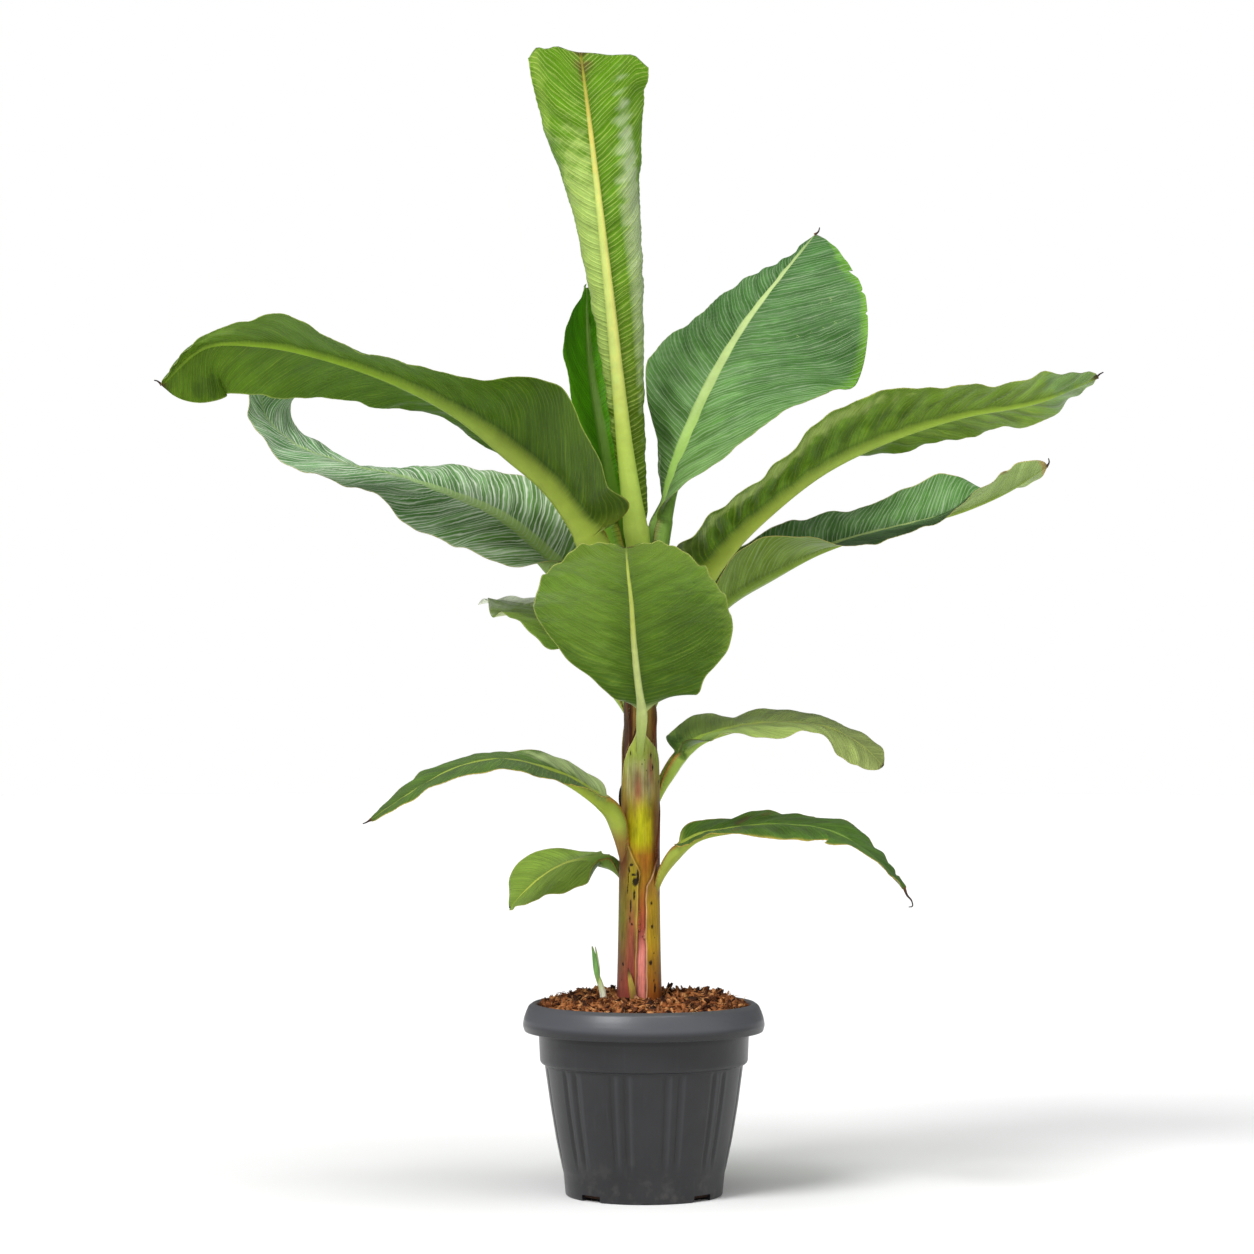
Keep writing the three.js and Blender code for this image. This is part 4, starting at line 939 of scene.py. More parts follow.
def leaf_finish(name, pale, strength, gloss=0.4):
    """Living leaf: the painted colour under pale side veins and fine lines between them, with a
    waxy bloom where the paint asks for it. The veins stand out as relief too."""
    leaf = Finish(name, Specular_IOR_Level=0.14)
    vein, across = leaf.parts(leaf.painted("blade"))[:2]
    under, wax, rib = leaf.parts(leaf.painted("face"))
    tint = leaf.painted("tint")
    drawn = leaf.node("ShaderNodeCombineXYZ", None, {"X": vein * 0.42, "Y": across * 0.012, "Z": under * 5})
    lines = leaf.noise(drawn, 1.0, 3, 0.65)
    slow = leaf.node("ShaderNodeCombineXYZ", None, {"X": vein * 0.05, "Y": across * 0.02, "Z": under * 5})
    drift = leaf.noise(slow, 1.0, 3, 0.5)
    crest = (vein * (2 * math.pi / LINE_PITCH) + drift * 14).sum("COSINE") * 0.5 + 0.5
    crest = crest ** 5
    blade = 1 - rib
    cells = leaf.noise(leaf.place(), 55, 4, 0.6)
    shade = (lines - 0.5) * blade * 0.9 + (cells - 0.5) * 0.45 + (drift - 0.5) * blade * 0.5
    tone = leaf.brighter(tint, shade + 0.94)
    tone = leaf.mix(crest * (drift * 1.6 - 0.2) * blade * strength, tone, solid_colour(pale))
    tone = leaf.mix(lines.between(0.58, 0.8) * blade * strength * 0.8, tone, solid_colour(pale))
    threads = leaf.node("ShaderNodeCombineXYZ", None, {"X": vein * 0.02, "Y": across * 1.3})
    fibres = leaf.noise(threads, 1, 2)
    tone = leaf.mix(fibres.between(0.45, 0.7) * rib * 0.2, tone, solid_colour(pale))
    waxy = wax * (crest * 0.3 + lines * 0.9 + drift * 0.4).between(0.55, 1.02)
    tone = leaf.mix(waxy, tone, solid_colour("ced9c4"))
    leaf.feed("Base Color", tone)
    leaf.feed("Roughness", cells * 0.15 + waxy * 0.2 + (gloss - 0.07))
    leaf.bump(crest * blade * 0.8 + lines * blade * 0.5 + cells * 0.3, 0.0005)
    return leaf


leaf_green = leaf_finish("leaf_green", "9eb238", 0.24)
leaf_deep = leaf_finish("leaf_deep", "84a23c", 0.2)
leaf_waxy = leaf_finish("leaf_waxy", "a4ba86", 0.26, 0.46)
leaf_bright = leaf_finish("leaf_spear", "c8dc54", 0.5)

lowest_leaf_left = {
    "name": "leaf_lower_left", "stalk": 8, "blade_from": 176,
    "foot": (205, 330, 420), "round": [0.08, 0.2],
    "spine": [[-37, -36, 479], [-73, -62, 512], [-118, -90, 535], [-170, -118, 548],
              [-230, -142, 538], [-282, -158, 509], [-333, -166, 475]],
    "left": {
        "wide": [18, 26, 46, 66, 75, 72, 65, 54, 41],
        "tilt": [14, 8, 4, 6, 15, 19, 24, 27, 24],
        "curl": [-15],
    },
    "right": {
        "wide": [38, 54, 66, 74, 75, 72, 65, 54, 41],
        "tilt": [26, 22, 12, 0, -6, -8, -7, -8, -12],
        "curl": [-15],
    },
    "wave": (1.6, 74), "rim": 2.2, "sweep": (0.3, 0.7), "buckle": 1.6,
    "look": {
        "upper": [(0, "58743a"), (1, "4a6a26")],
        "under": [(0, "8b9c48"), (0.25, "7c9140"), (0.45, "4c6a24"), (1, "4a6824")],
        "rib": "93a54a", "rib_under": [(0, "8a9c34"), (0.4, "8d9e42"), (1, "6f8430")],
        "stalk": [(0, "8a5f38"), (0.5, "96683c"), (0.66, "94743a"), (0.8, "a2b046"), (1, "94a63a")],
        "margin": "dcc060", "wing": "b8672f",
        "patches": [(("right", 0.1, 0.6, 0), (0.24, 0.5), "a3b47c", 0.8)],
    },
}
hand_over(grow_leaf(lowest_leaf_left), "leaf_lower_left", leaf_green)


# ---- lowest leaf, left, behind ---------------------------------------------------------
# A short broad blade that hangs behind the trunk on the left and shows its lighter underside.
# It is the oldest leaf left on the plant.

lowest_leaf_back = {
    "name": "leaf_lowest_left", "stalk": 7, "blade_from": 98,
    "foot": (140, 330, 385), "round": [0.12, 0.3],
    "spine": [[-45, 38, 413], [-68, 56, 418], [-104, 84, 408], [-141, 110, 381], [-172, 124, 348]],
    "left": {
        "wide": [37, 44, 61, 69, 70, 66, 60, 50, 38],
        "tilt": [-60, -50, -42, -36, -34, -33, -32, -30, -27],
        "curl": [-10],
    },
    "right": {
        "wide": [17, 19, 43, 62, 67, 67, 62, 55, 41],
        "tilt": [41, 24, 14, 18, 26, 45, 61, 74, 66],
        "curl": [-10],
    },
    "wave": (1.8, 80), "sweep": (0.3, 0.9), "rim": 2.0,
    "look": {
        "upper": "7d9a3c", "under": [(0, "55762a"), (0.35, "7b9436"), (1, "80983a")],
        "rib": "b3bf50", "rib_under": "b9c454",
        "stalk": [(0, "8c8a3f"), (1, "6f8f3c")],
        "margin": "c0bd58", "wing": "9a6a34",
    },
}
hand_over(grow_leaf(lowest_leaf_back), "leaf_lowest_left", leaf_green)


# ---- low leaf, right -------------------------------------------------------------------
# An older dark leaf that arches out to the right, with a dry yellow margin and small notches
# along it.

low_leaf_right = {
    "name": "leaf_lower_right_low", "stalk": 7, "blade_from": 129,
    "foot": (335, 320, 380), "round": [0.08, 0.25],
    "spine": [[35, -28, 424], [59, -50, 448], [111, -84, 462], [166, -112, 468], [226, -136, 461],
              [271, -152, 436], [316, -160, 391]],
    "left": {
        "wide": [37, 49, 63, 70, 70, 67, 61, 52, 41],
        "tilt": [38, 12, 9, 3, -1, 0, -6, -9, -4],
        "curl": [-15],
    },
    "right": {
        "wide": [25, 37, 59, 69, 71, 68, 61, 52, 41],
        "tilt": [-4, 8, 17, 15, 11, 12, 24, 35, 29],
        "curl": [-15],
    },
    "wave": (1.8, 62), "rim": 2.6, "sweep": (0.4, 0.9), "buckle": 1.8, "stalk_look": 5.8,
    "nicks": [("right", 350, 9, 20, 0.7), ("right", 384, 7, 14, 0.6), ("left", 438, 5, 9, 0.3),
              ("right", 438, 5, 8, 0.4), ("left", 300, 3, 3, 0)],
    "look": {
        "upper": [(0, "4f6f26"), (1, "466a24")],
        "under": [(0, "8a9f48"), (0.12, "5a7a2c"), (1, "4a6a26")],
        "rib": "6f8f3c", "rib_under": "88a048",
        "stalk": [(0, "a07a35"), (0.3, "aaa844"), (1, "a0b048")],
        "margin": "dcb75c", "wing": "a3552a",
        "patches": [(("left", 0.4, 0.45, 2), (0.3, 0.25), "36501a", 0.6),
                    (("right", 0.5, 0.45, 2), (0.3, 0.25), "36501a", 0.5),
                    (("both", 0.26, 0.4, 2), (0.03, 0.3), "4a2c18", 0.7),
                    (("both", 0.33, 0.7, 2), (0.02, 0.2), "5a4420", 0.5),
                    (("right", 0.6, 1.0, 2), (0.3, 0.08), "a99a44", 0.5)],
    },
}
hand_over(grow_leaf(low_leaf_right), "leaf_lower_right_low", leaf_deep)


# ---- middle leaf, right ----------------------------------------------------------------
# A light green leaf that arches to the right and turns over along its length, with a dark patch
# at the base of the blade.

mid_leaf_right = {
    "name": "leaf_lower_right_high", "stalk": 8, "blade_from": 139,
    "foot": (30, 420, 480), "round": [0.08, 0.25],
    "spine": [[33, 28, 529], [62, 44, 563], [109, 66, 581], [173, 88, 588], [238, 104, 580],
              [279, 112, 558], [307, 116, 531]],
    "left": {
        "wide": [41, 53, 68, 72, 71, 67, 61, 53, 43],
        "tilt": [29, 24, 19, 10, 17, 16, 17, 29, 51],
        "curl": [-10],
    },
    "right": {
        "wide": [61, 69, 70, 73, 75, 68, 59, 51, 40],
        "tilt": [14, 12, 3, -5, 2, -4, -23, -34, -48],
        "curl": [-15],
    },
    "wave": (1.8, 76), "sweep": (0.3, 0.8), "stalk_look": 6.4, "buckle": 1.8,
    "look": {
        "upper": [(0, "6e923c"), (0.3, "a4ba64"), (1, "aebe70")],
        "under": [(0, "86a248"), (0.3, "aebe72"), (1, "b0bc74")],
        "rib": "b3bf68", "rib_under": "b0bc66",
        "stalk": [(0, "a08a3c"), (0.3, "a8bc4c"), (1, "a0bc50")],
        "margin": "bdbd60", "wing": "c4743a",
        "patches": [(("both", 0.02, 0.7, 2), (0.06, 0.5), "3f6426", 0.75)],
    },
}
hand_over(grow_leaf(mid_leaf_right), "leaf_lower_right_high", leaf_green)


# ---- front leaf ------------------------------------------------------------------------
# The broad round leaf that comes straight forward and hides the upper trunk. It shows its
# underside, with side veins that sweep back more and more towards the tip.

front_leaf = {
    "name": "leaf_front", "stalk": 8, "blade_from": 182,
    "foot": (270, 430, 545), "round": [0.1, 0.22],
    "spine": [[-3, -50, 604], [-8, -88, 644], [-13, -145, 693], [-16, -215, 738], [-20, -295, 774],
              [-22, -365, 797], [-22, -400, 801]],
    "left": {
        "wide": [74, 81, 110, 121, 117, 109, 96, 83, 69],
        "tilt": [-1, 1, 1, 2, 2, 0, -1, 3, 16],
        "curl": [-10],
    },
    "right": {
        "wide": [27, 50, 85, 107, 118, 112, 99, 82, 64],
        "tilt": [2, 5, 6, 7, 5, 1, 4, 3, 20],
        "curl": [-10],
    },
    "wave": (2.8, 80), "sweep": (0.1, 1.5), "ribbed": 0.2, "rim": 1.8, "stalk_look": 4.2, "buckle": 2.4,
    "pleats": 0.5,
    "look": {
        "upper": "55802a",
        "under": [(0, "486a1c"), (0.3, "567820"), (0.7, "668a2a"), (1, "73922c")],
        "rib": "8fb04d",
        "rib_under": [(0, "cfd88c"), (0.4, "c8d068"), (0.75, "c4d25c"), (1, "8aa03c")],
        "stalk": [(0, "8a983c"), (0.45, "90a244"), (0.7, "a2b65a"), (1, "c8d488")],
        "margin": "c6cf6c", "wing": "9a8a4a",
        # the first two patches are painted light and shade: the right half lighter, the left half darker
        "patches": [(("right", 0.5, 0.6, 1), (0.4, 0.4), "76983a", 0.6),
                    (("left", 0.35, 0.6, 1), (0.3, 0.4), "42601a", 0.6),
                    (("left", 0.55, 0.96, 1), (0.4, 0.07), "84a23e", 0.5)],
    },
}
hand_over(grow_leaf(front_leaf), "leaf_front", leaf_green)


# ---- back leaf, left -------------------------------------------------------------------
# A small wavy leaf that points back and to the left behind the front leaf, half light underside
# and half dark upper face.

back_leaf_left = {
    "name": "leaf_back_left", "stalk": 8, "blade_from": 170,
    "foot": (130, 525, 585), "round": [0.1, 0.2],
    "spine": [[-55, 46, 657], [-91, 80, 703], [-126, 120, 728], [-166, 175, 740], [-203, 230, 742]],
    "left": {
        "wide": [51, 69, 80, 81, 72, 58, 40, 27, 40],
        "tilt": [10, 9, 15, 11, 2, 14, 13, 12, 1],
        "curl": [-10],
    },
    "right": {
        "wide": [56, 65, 66, 52, 24, 32, 49, 52, 49],
        "tilt": [30, 29, 28, 28, 28, 14, 7, 9, 20],
        "curl": [-10],
    },
    "wave": (3.0, 56), "sweep": (0.3, 0.7), "rim": 2.0, "stalk_look": 4.4,
    "look": {
        "upper": [(0, "4a7024"), (0.35, "96b44a"), (1, "d4e0b0")],
        "under": [(0, "9cb458"), (0.5, "c2d090"), (1, "dde4cc")],
        "rib": "8aa34a", "rib_under": "a0b45c",
        "stalk": [(0, "9cb34c"), (1, "8fae50")],
        "margin": "b4c070", "wing": "94703f",
        "patches": [(("both", 0.85, 0.7, 2), (0.35, 0.9), "e2e8d4", 0.9)],
    },
}
hand_over(grow_leaf(back_leaf_left), "leaf_back_left", leaf_deep)


# ---- right leaf, lower -----------------------------------------------------------------
# A long leaf that reaches far to the right. It twists twice, so that the light underside shows
# near the trunk and at the tip, and the dark waxy upper face in between.

right_leaf_low = {
    "name": "leaf_right_low", "stalk": 8.3, "blade_from": 211,
    "foot": (32, 545, 600), "round": [0.08, 0.14],
    "spine": [[58, 32, 698], [109, 46, 746], [160, 60, 775], [224, 78, 808], [263, 90, 822],
              [327, 106, 838], [412, 122, 860], [470, 132, 885], [519, 136, 916]],
    "left": {
        "wide": [52, 58, 63, 79, 83, 79, 71, 59, 42],
        "tilt": [34, 39, 37, 20, 12, 21, 35, -9, -38],
        "curl": [-10],
    },
    "right": {
        "wide": [61, 80, 92, 94, 90, 83, 73, 56, 45],
        "tilt": [53, 63, 42, 15, 15, 19, 36, 51, 62],
        "curl": [-10],
    },
    "wave": (2.6, 84), "rim": 2.2, "sweep": (0.3, 0.8), "buckle": 1.8, "stalk_look": 6.6,
    "look": {
        "upper": [(0, "3a601c"), (0.5, "4a7a30"), (1, "4c8034")],
        "under": [(0, "6c8826"), (0.4, "728e2e"), (0.8, "88a44a"), (1, "98b260")],
        "rib": "9ab068", "rib_under": "8fa63c",
        "stalk": [(0, "8f9a3a"), (0.5, "8a9e3c"), (1, "7a9634")],
        "margin": "e0d27c", "wing": "8f6f30", "wax": (0.25, 0.05), "tip_from": 0.99,
        "patches": [(("both", 0.99, 0.5, 2), (0.012, 0.9), "a5703a", 0.6),
                    (("right", 0.86, 0.95, 2), (0.02, 0.06), "6a4020", 0.7)],
    },
}
hand_over(grow_leaf(right_leaf_low), "leaf_right_low", leaf_waxy)


# ---- left leaf, twisted ----------------------------------------------------------------
# A dark leaf on the left under the big one. White wax follows its veins, and its end turns up
# behind the leaf above.

left_leaf_twisted = {
    "name": "leaf_left_twisted", "stalk": 11, "blade_from": 208,
    "foot": (152, 595, 650), "round": [0.08, 0.14],
    "spine": [[-74, 40, 743], [-122, 56, 799], [-182, 74, 850], [-247, 92, 880], [-311, 108, 902],
              [-389, 124, 922], [-451, 136, 947], [-488, 140, 985], [-490, 132, 1036]],
    "left": {
        "wide": [62, 82, 93, 98, 93, 86, 78, 67, 57],
        "tilt": [9, -14, -20, -19, -3, -3, -1, 8, 2],
        "curl": [-10],
    },
    "right": {
        "wide": [47, 64, 87, 93, 98, 91, 78, 71, 59],
        "tilt": [53, 43, 31, 20, 7, -6, 2, 10, 63],
        "curl": [-10],
    },
    "wave": (3.6, 84), "sweep": (0.3, 0.9), "rim": 2.0, "buckle": 2.2, "pleats": 1.8,
    "look": {
        "upper": [(0, "5c8430"), (0.35, "5a8846"), (0.8, "588c50"), (1, "589238")],
        "under": "768f4c",
        "rib": [(0, "8fa858"), (0.5, "86a864"), (1, "93b070")], "rib_under": "9aae58",
        "stalk": [(0, "8da14a"), (1, "86a350")],
        "margin": "c4b870", "wing": "8f7a40", "wax": (0.9, 0.1),
    },
}
hand_over(grow_leaf(left_leaf_twisted), "leaf_left_twisted", leaf_waxy)


# ---- right leaf, upper -----------------------------------------------------------------
# The longest leaf on the right, seen from below, with a thick bright midrib and deep folds. The
# base of its blade is painted dark as painted shade, and its tip is grey green.

right_leaf_high = {
    "name": "leaf_right_high", "stalk": 12, "blade_from": 188,
    "foot": (330, 600, 650), "round": [0.06, 0.1],
    "spine": [[57, -27, 749], [104, -33, 815], [156, -38, 863], [218, -44, 908], [292, -52, 943],
              [390, -62, 973], [488, -70, 990], [559, -74, 1018]],
    "left": {
        "wide": [45, 66, 84, 98, 103, 98, 86, 72, 53],
        "tilt": [32, 31, 30, 27, 19, 11, 11, 9, 18],
        "curl": [-10],
    },
    "right": {
        "wide": [71, 86, 99, 109, 104, 95, 83, 69, 51],
        "tilt": [8, 6, -4, 4, 12, 6, 1, 3, -2],
        "curl": [-10],
    },
    "wave": (4.2, 88), "sweep": (0.2, 0.9), "buckle": 3.0, "rim": 2.0, "pleats": 2.4,
    "look": {
        "upper": [(0, "46662c"), (1, "5c8450")],
        "under": [(0, "4c6a14"), (0.3, "5a7e1c"), (0.7, "6a8a2a"), (1, "7c9c3a")],
        "rib": "9dba62",
        "rib_under": [(0, "8ca02c"), (0.3, "9cb24c"), (0.7, "96b63a"), (1, "98b844")],
        "stalk": [(0, "8fa03c"), (0.5, "9cae50"), (1, "96a83a")],
        "margin": "b9bf62", "wing": "a8552f", "tip_from": 0.975,
        # the first three patches are painted light and shade: a light and a dark band along the right half
        # and the dark base of the blade
        "patches": [(("right", 0.3, 0.8, 1), (0.3, 0.16), "9cb05c", 0.7),
                    (("right", 0.32, 0.4, 1), (0.34, 0.2), "3f600a", 0.7),
                    (("right", 0.03, 0.75, 1), (0.05, 0.5), "3d4f1c", 0.75),
                    (("left", 0.6, 0.6, 1), (0.3, 0.3), "5f7a2c", 0.5),
                    (("both", 0.94, 0.6, 2), (0.07, 0.8), "6c8c54", 0.7)],
    },
}
hand_over(grow_leaf(right_leaf_high), "leaf_right_high", leaf_green)


# ---- left leaf, upper ------------------------------------------------------------------
# The longest leaf of all, arching to the left and seen from below. Its end droops, with creases
# across it shown by painted shade.

left_leaf_high = {
    "name": "leaf_left_high", "stalk": 14, "blade_from": 196,
    "foot": (215, 640, 700), "round": [0.06, 0.1],
    "spine": [[-50, -30, 780], [-76, -40, 842], [-110, -46, 887], [-160, -56, 928],
              [-227, -66, 979], [-301, -74, 1016], [-387, -80, 1044], [-472, -86, 1059], [-539, -90, 1055],
              [-594, -92, 1007]],
    "left": {
        "wide": [89, 112, 128, 116, 111, 104, 96, 80, 57],
        "tilt": [1, 7, 23, -3, -14, -15, -2, -17, -21],
        "curl": [-10],
    },
    "right": {
        "wide": [74, 90, 103, 109, 109, 100, 89, 75, 76],
        "tilt": [29, 27, 23, 23, 11, 1, -14, -25, -46],
        "curl": [-10],
    },
    "wave": (2.8, 120), "sweep": (0.5, 1.0), "buckle": 2.2, "rim": 2.0, "pleats": 0.5,
    "look": {
        "upper": "4f7230",
        "under": [(0, "48621a"), (0.3, "466812"), (0.7, "507414"), (1, "62861a")],
        "rib": "9dba62",
        "rib_under": [(0, "9cae5a"), (0.3, "8ca63e"), (0.6, "82a522"), (1, "88ae2c")],
        "stalk": [(0, "8da03a"), (0.5, "96a840"), (1, "98aa40")],
        "margin": "a8b858", "wing": "bd672f",
        # the first patch is painted shade for the creases across the end
        "patches": [(("both", 0.93, 0.7, 1), (0.05, 0.25), "3f5a1a", 0.6),
                    (("left", 0.86, 0.6, 1), (0.05, 0.25), "82a63a", 0.5)],
    },
}
hand_over(grow_leaf(left_leaf_high), "leaf_left_high", leaf_green)


# ---- back leaf, upper ------------------------------------------------------------------
# A broad leaf behind the spear, saturated dark green in its shade, on a bright green stalk.

back_leaf_upper = {
    "name": "leaf_back_upper", "stalk": 12, "blade_from": 153,
    "foot": (128, 690, 750), "round": [0.15, 0.5],
    "spine": [[-29, 36, 812], [-41, 52, 869], [-56, 76, 959], [-68, 104, 1037], [-73, 138, 1103],
              [-74, 166, 1149]],
    "left": {
        "wide": [62, 76, 88, 95, 96, 92, 84, 70, 53],
        "tilt": [41, 28, 27, 22, 20, 21, 26, 36, 46],
        "curl": [25],
    },
    "right": {
        "wide": [40, 50, 56, 60, 60, 56, 50, 44, 36],
        "tilt": [50, 50, 50, 50, 50, 50, 50, 50, 50],
        "curl": [25],
    },
    "wave": (2.0, 110), "sweep": (0.3, 0.8), "rim": 1.8,
    "look": {
        "upper": [(0, "5aa00a"), (0.5, "5ea80a"), (1, "58a20e")], "under": "5c862c",
        "rib": "7fa548", "rib_under": "8fb04a",
        "stalk": [(0, "8aa838"), (0.5, "7fb030"), (1, "74a42c")],
        "margin": "86a83c", "wing": "a59a3c",
    },
}
hand_over(grow_leaf(back_leaf_upper), "leaf_back_upper", leaf_deep)


# ---- upper leaf, right -----------------------------------------------------------------
# The widest leaf, grey green with wax on its upper face, a pale midrib and dense side veins. The
# margin is nicked near the tip.

upper_leaf_right = {
    "name": "leaf_upper_right", "stalk": 10, "blade_from": 163,
    "foot": (38, 680, 745), "round": [0.18, 0.14],
    "spine": [[16, 20, 812], [25, 30, 869], [58, 54, 960], [123, 114, 1089], [183, 160, 1170],
              [223, 190, 1220]],
    "left": {
        "wide": [4, 26, 50, 82, 111, 107, 97, 83, 65],
        "tilt": [-23, -4, 23, 34, 24, 11, 7, -4, -15],
        "curl": [-10],
    },
    "right": {
        "wide": [71, 94, 115, 136, 156, 167, 154, 116, 71],
        "tilt": [38, 17, -1, -12, -28, -41, -32, -29, -25],
        "curl": [-10],
    },
    "wave": (3.0, 120), "sweep": (0.35, 0.9), "ribbed": 0.4, "rim": 1.8, "buckle": 2.6, "pleats": 1.2,
    "nicks": [("right", 596, 4, 9, 0.5), ("right", 578, 3, 5, 0), ("right", 548, 2.5, 4, -0.3)],
    "look": {
        "upper": [(0, "62883c"), (0.35, "5c8a42"), (0.7, "447430"), (1, "386c26")],
        "under": "86a05a",
        "rib": [(0, "a3c060"), (0.4, "aec678"), (1, "bdd08c")], "rib_under": "a3bd68",
        "stalk": [(0, "9db85a"), (0.6, "8fbb50"), (1, "9cc45c")],
        "margin": "b4bf58", "wing": "a9a060", "wax": (0.16, 0.1),
        "patches": [(("right", 0.62, 0.6, 0), (0.4, 0.4), "346020", 0.6),
                    (("right", 0.76, 1.0, 2), (0.28, 0.07), "6aa410", 0.85),
                    (("right", 0.95, 1.0, 2), (0.08, 0.3), "5f9a14", 0.7),
                    (("left", 0.16, 0.9, 0), (0.05, 0.06), "b3c4a0", 0.7)],
    },
}
hand_over(grow_leaf(upper_leaf_right), "leaf_upper_right", leaf_waxy)


# ---- spear leaf ------------------------------------------------------------------------
# The youngest leaf, still opening at the top of the trunk: it is rolled up behind its flat pale
# midrib, so the bright yellow green underside is what shows, and opens out towards the top.

spear_leaf = {
    "name": "leaf_spear", "stalk": 9, "blade_from": 40,
    "foot": None, "round": [0.05, 0],
    "spine": [[-7, 0, 808], [-23, -8, 931], [-43, -18, 1119], [-57, -24, 1245], [-69, -28, 1346],
              [-79, -30, 1423]],
    "left": {
        "wide": [42, 62, 82, 98, 112, 109, 92, 82, 87],
        "tilt": [0],
        "curl": [165, 165, 165, 160, 150, 130, 95, 60, 35],
    },
    "right": {
        "wide": [24, 37, 45, 55, 68, 78, 80, 74, 71],
        "tilt": [0],
        "curl": [170, 170, 170, 170, 165, 150, 110, 65, 40],
    },
    "wave": (1.5, 70), "sweep": (0.1, 0.85), "ribbed": 0.5, "buckle": 1.0, "rim": 1.6,
    "end": {"left": [0, -3, -7, -8, -11, -26], "right": [0, 5, 12, 11, 15, 4]},
    "look": {
        "upper": [(0, "7fa352"), (1, "86a850")],
        "under": [(0, "566c12"), (0.3, "5e7e10"), (0.65, "5e900c"), (1, "60900e")],
        "rib": "b9c56c",
        "rib_under": [(0, "c8cf48"), (0.3, "e0e07c"), (0.7, "e0dd78"), (0.93, "d6bc58"), (1, "a9702c")],
        "stalk": [(0, "a5c04a"), (1, "b3c95a")],
        "margin": "b9cc58", "wing": "a9b85a", "wax": (0.1, 0.06), "tip_from": 0.985,
        # the first two, pale patches on the left half are a painted highlight: the sheen where that rolled
        # half turns away
        "patches": [(("left", 0.58, 0.56, 1), (0.36, 0.2), "d6e2bc", 0.55),
                    (("left", 0.52, 0.36, 1), (0.3, 0.1), "c3d49c", 0.6),
                    (("right", 0.54, 0.3, 1), (0.32, 0.6), "c6de7c", 0.6),
                    (("right", 0.93, 0.85, 1), (0.12, 0.14), "a0c04c", 0.4),
                    (("both", 0.965, 0.06, 1), (0.03, 0.06), "5a3a1c", 0.8)],
    },
}
hand_over(grow_leaf(spear_leaf), "leaf_spear", leaf_bright)


# ---- sucker ----------------------------------------------------------------------------
# A finger-high shoot beside the trunk: a whitish sheath and two narrow rolled blades. It grows
# from the same rootstock, through the mulch.

SHOOT_RINGS = 60
SHOOT_AROUND = 24


def small_shoot(name, points, widths, flat, tones):
    """A closed tapering shoot through the points, its half widths, and how flat each ring is."""
    length, line, _, ups, sides = midrib_line(points, (0, -1, 0))
    s = np.linspace(0, length[-1], SHOOT_RINGS)
    place, up, side = (np.stack([np.interp(s, length, v[:, k]) for k in range(3)], 1)
                       for v in (line, ups, sides))
    t = s / length[-1]
    half = keyed(widths, t) * smooth(-0.01, 0.03, t) * np.sqrt(np.clip(1 - smooth(0.9, 1, t) ** 2, 0, 1))
    deep = half * keyed(flat, t)
    turn = np.linspace(0, 2 * np.pi, SHOOT_AROUND, endpoint=False)
    rings = (place[:, None] + side[:, None] * (half[:, None] * np.cos(turn))[..., None]
             + up[:, None] * (deep[:, None] * np.sin(turn))[..., None])
    tint = np.repeat(tones_at(tones, t)[:, None], SHOOT_AROUND, axis=1)
    return skin(name, rings, {"tint": tint})


shoot_skin = Finish("young_sheath", Specular_IOR_Level=0.5, Roughness=0.4)
tone, fibres, mottle = sheath_look(shoot_skin, shoot_skin.painted("tint"), 0.2)
shoot_skin.feed("Base Color", tone)
shoot_skin.bump(fibres, 0.0003)

SHOOT_FOOT = [-50, -14, 237]
sheath = small_shoot("sucker_sheath", [SHOOT_FOOT, [-51, -14, 250], [-55, -14, 266], [-58, -14, 276]],
                     [3.6, 4.2, 3.4, 2.2], [1, 0.9, 0.8, 0.7],
                     [(0, "fffff0"), (0.45, "f2f6d4"), (0.8, "c4da80"), (1, "c0d878")])
blade = small_shoot("sucker_blade", [[-56, -14, 262], [-60, -15, 285], [-63, -15, 303], [-65, -14, 312]],
                    [1.8, 3.6, 2.8, 1.0], [0.8, 0.5, 0.4, 0.5],
                    [(0, "c0d878"), (0.3, "7fb858"), (0.8, "66a048"), (1, "8a9a50")])
spike = small_shoot("sucker_spike", [[-57, -13, 268], [-58, -12, 290], [-60, -12, 306], [-61, -12, 311]],
                    [1.8, 2.6, 1.6, 0.6], [0.7, 0.5, 0.6, 1],
                    [(0, "f2f6e2"), (0.5, "e2f0cc"), (0.8, "a8c860"), (1, "8a8a40")])
for piece in (sheath, blade, spike):
    hand_over(piece, "sucker", shoot_skin)


# ---- dried stub ------------------------------------------------------------------------
# The foot of an old leaf, cut short at the front of the trunk and dried to a yellow-brown strip
# with a dark rim, and the orange tip of another beside it. Higher up, a black flap of one more
# sticks out on the trunk's left side.

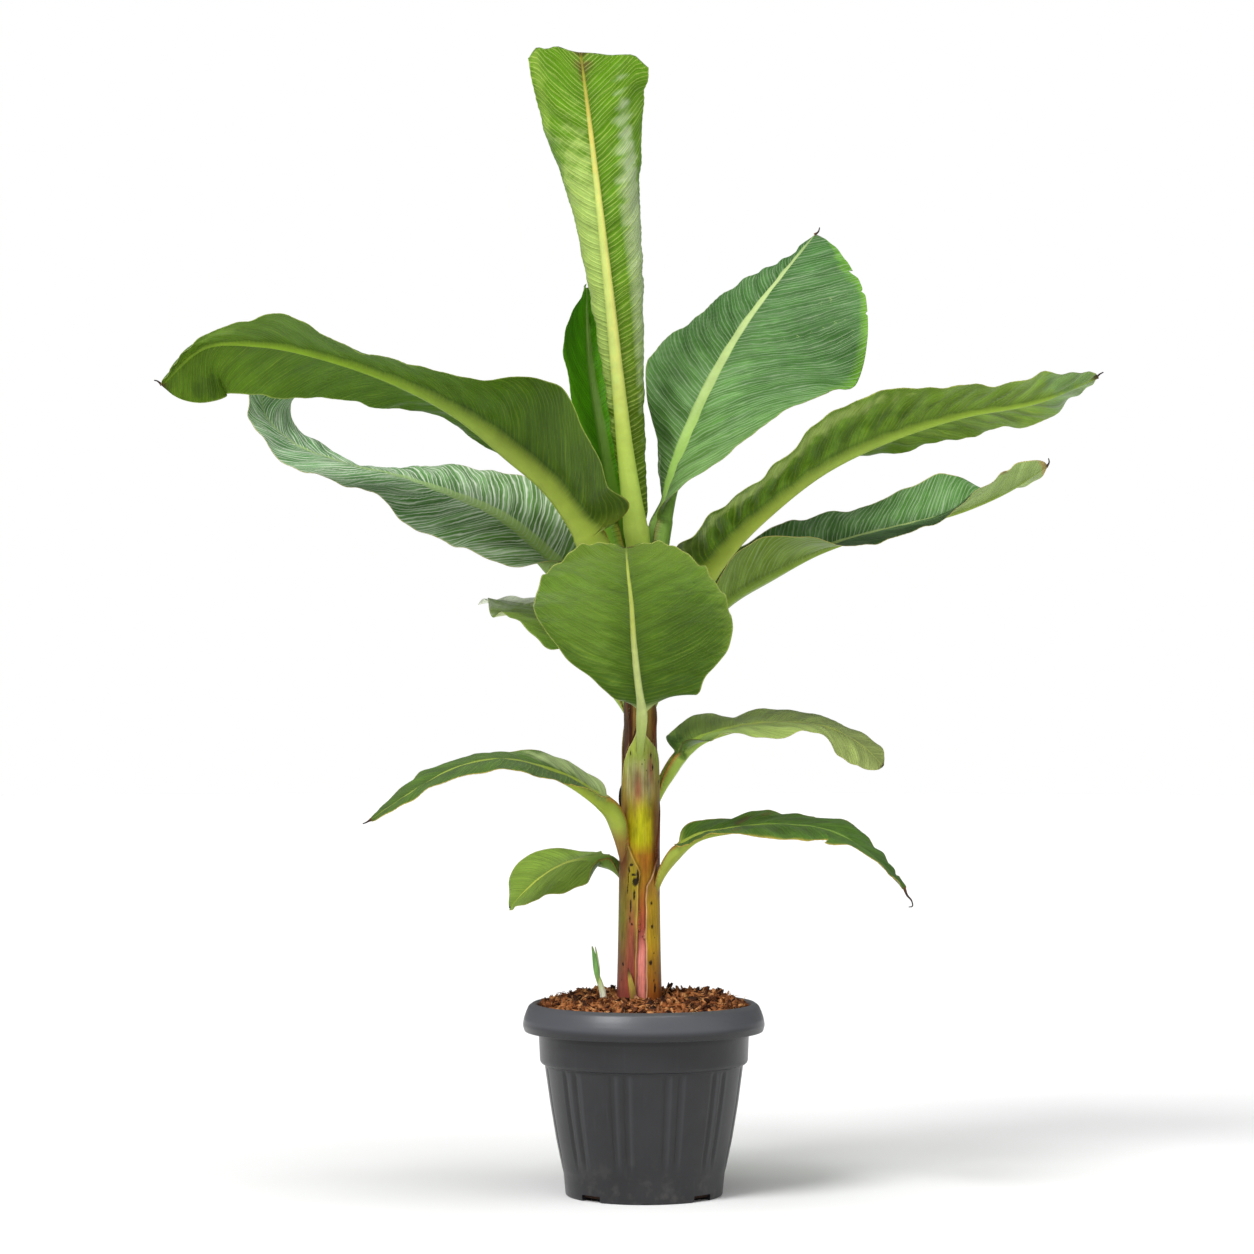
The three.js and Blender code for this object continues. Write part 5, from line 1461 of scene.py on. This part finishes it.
dried = Finish("dried_sheath", Specular_IOR_Level=0.3, Roughness=0.75)
tone, fibres, mottle = sheath_look(dried, dried.painted("tint"), 1.4)
dried.feed("Base Color", tone)
dried.bump(fibres + mottle, 0.0008)
stub = small_shoot("dried_strip", [[-13, -35, 237], [-14, -35, 254], [-17, -34, 270], [-20, -32, 286]],
                   [4.0, 4.2, 3.0, 0.9], [0.45, 0.4, 0.35, 0.4],
                   [(0, "3a2014"), (0.25, "8a6a2c"), (0.7, "b09a40"), (0.9, "5a4020"), (1, "2a1a10")])
tip = small_shoot("dried_tip", [[-8, -38, 236], [-8, -38, 242], [-10, -37, 249], [-12, -36, 253]],
                  [5.5, 5.0, 3.2, 0.8], [0.5, 0.5, 0.5, 0.6],
                  [(0, "c98a5a"), (0.6, "d9a071"), (1, "5a3220")])
for piece in (stub, tip):
    hand_over(piece, "dried_stub", dried)
flap = small_shoot("blackened_flap", [[-25, -6, 478], [-28.6, -6, 486], [-28.8, -6, 502], [-25, -6, 518]],
                   [0.8, 2.2, 2.4, 0.7], [0.8], [(0, "1c120e"), (1, "140e0c")])
hand_over(flap, "pseudostem", dried)


# ---- withered leaf tips ----------------------------------------------------------------
# Six of the leaves end in the dried remnant of their tip: a thin dark thread, stiff and brittle.
# It grows out of the end of the midrib, so each is handed over with its own leaf.

THREADS = {  # node: its slot and the places the thread passes through, in millimetres
    "leaf_lower_right_low": ("leaf_deep", [[314, -160, 394], [318, -161, 384], [323, -161, 378],
                                           [324, -161, 371], [319, -160, 370]]),
    "leaf_lower_left": ("leaf_green", [[-330, -166, 477], [-336, -166, 473], [-341, -166, 471]]),
    "leaf_upper_right": ("leaf_waxy", [[222, 189, 1218], [227, 191, 1222], [229, 192, 1228]]),
    "leaf_left_high": ("leaf_green", [[-592, -92, 1006], [-598, -92, 1011], [-602, -92, 1012]]),
    "leaf_right_low": ("leaf_waxy", [[517, 136, 914], [521, 136, 921], [520, 136, 926]]),
    "leaf_right_high": ("leaf_green", [[556, -74, 1016], [562, -74, 1021], [566, -74, 1023]]),
}
for node, (slot, points) in THREADS.items():
    thread = small_shoot(node + "_tip", points, [2.0, 1.3, 0.9, 0.7], [0.7],
                         [(0, "6a4a2a"), (0.3, "33201a"), (1, "1c1310")])
    hand_over(thread, node, dried)
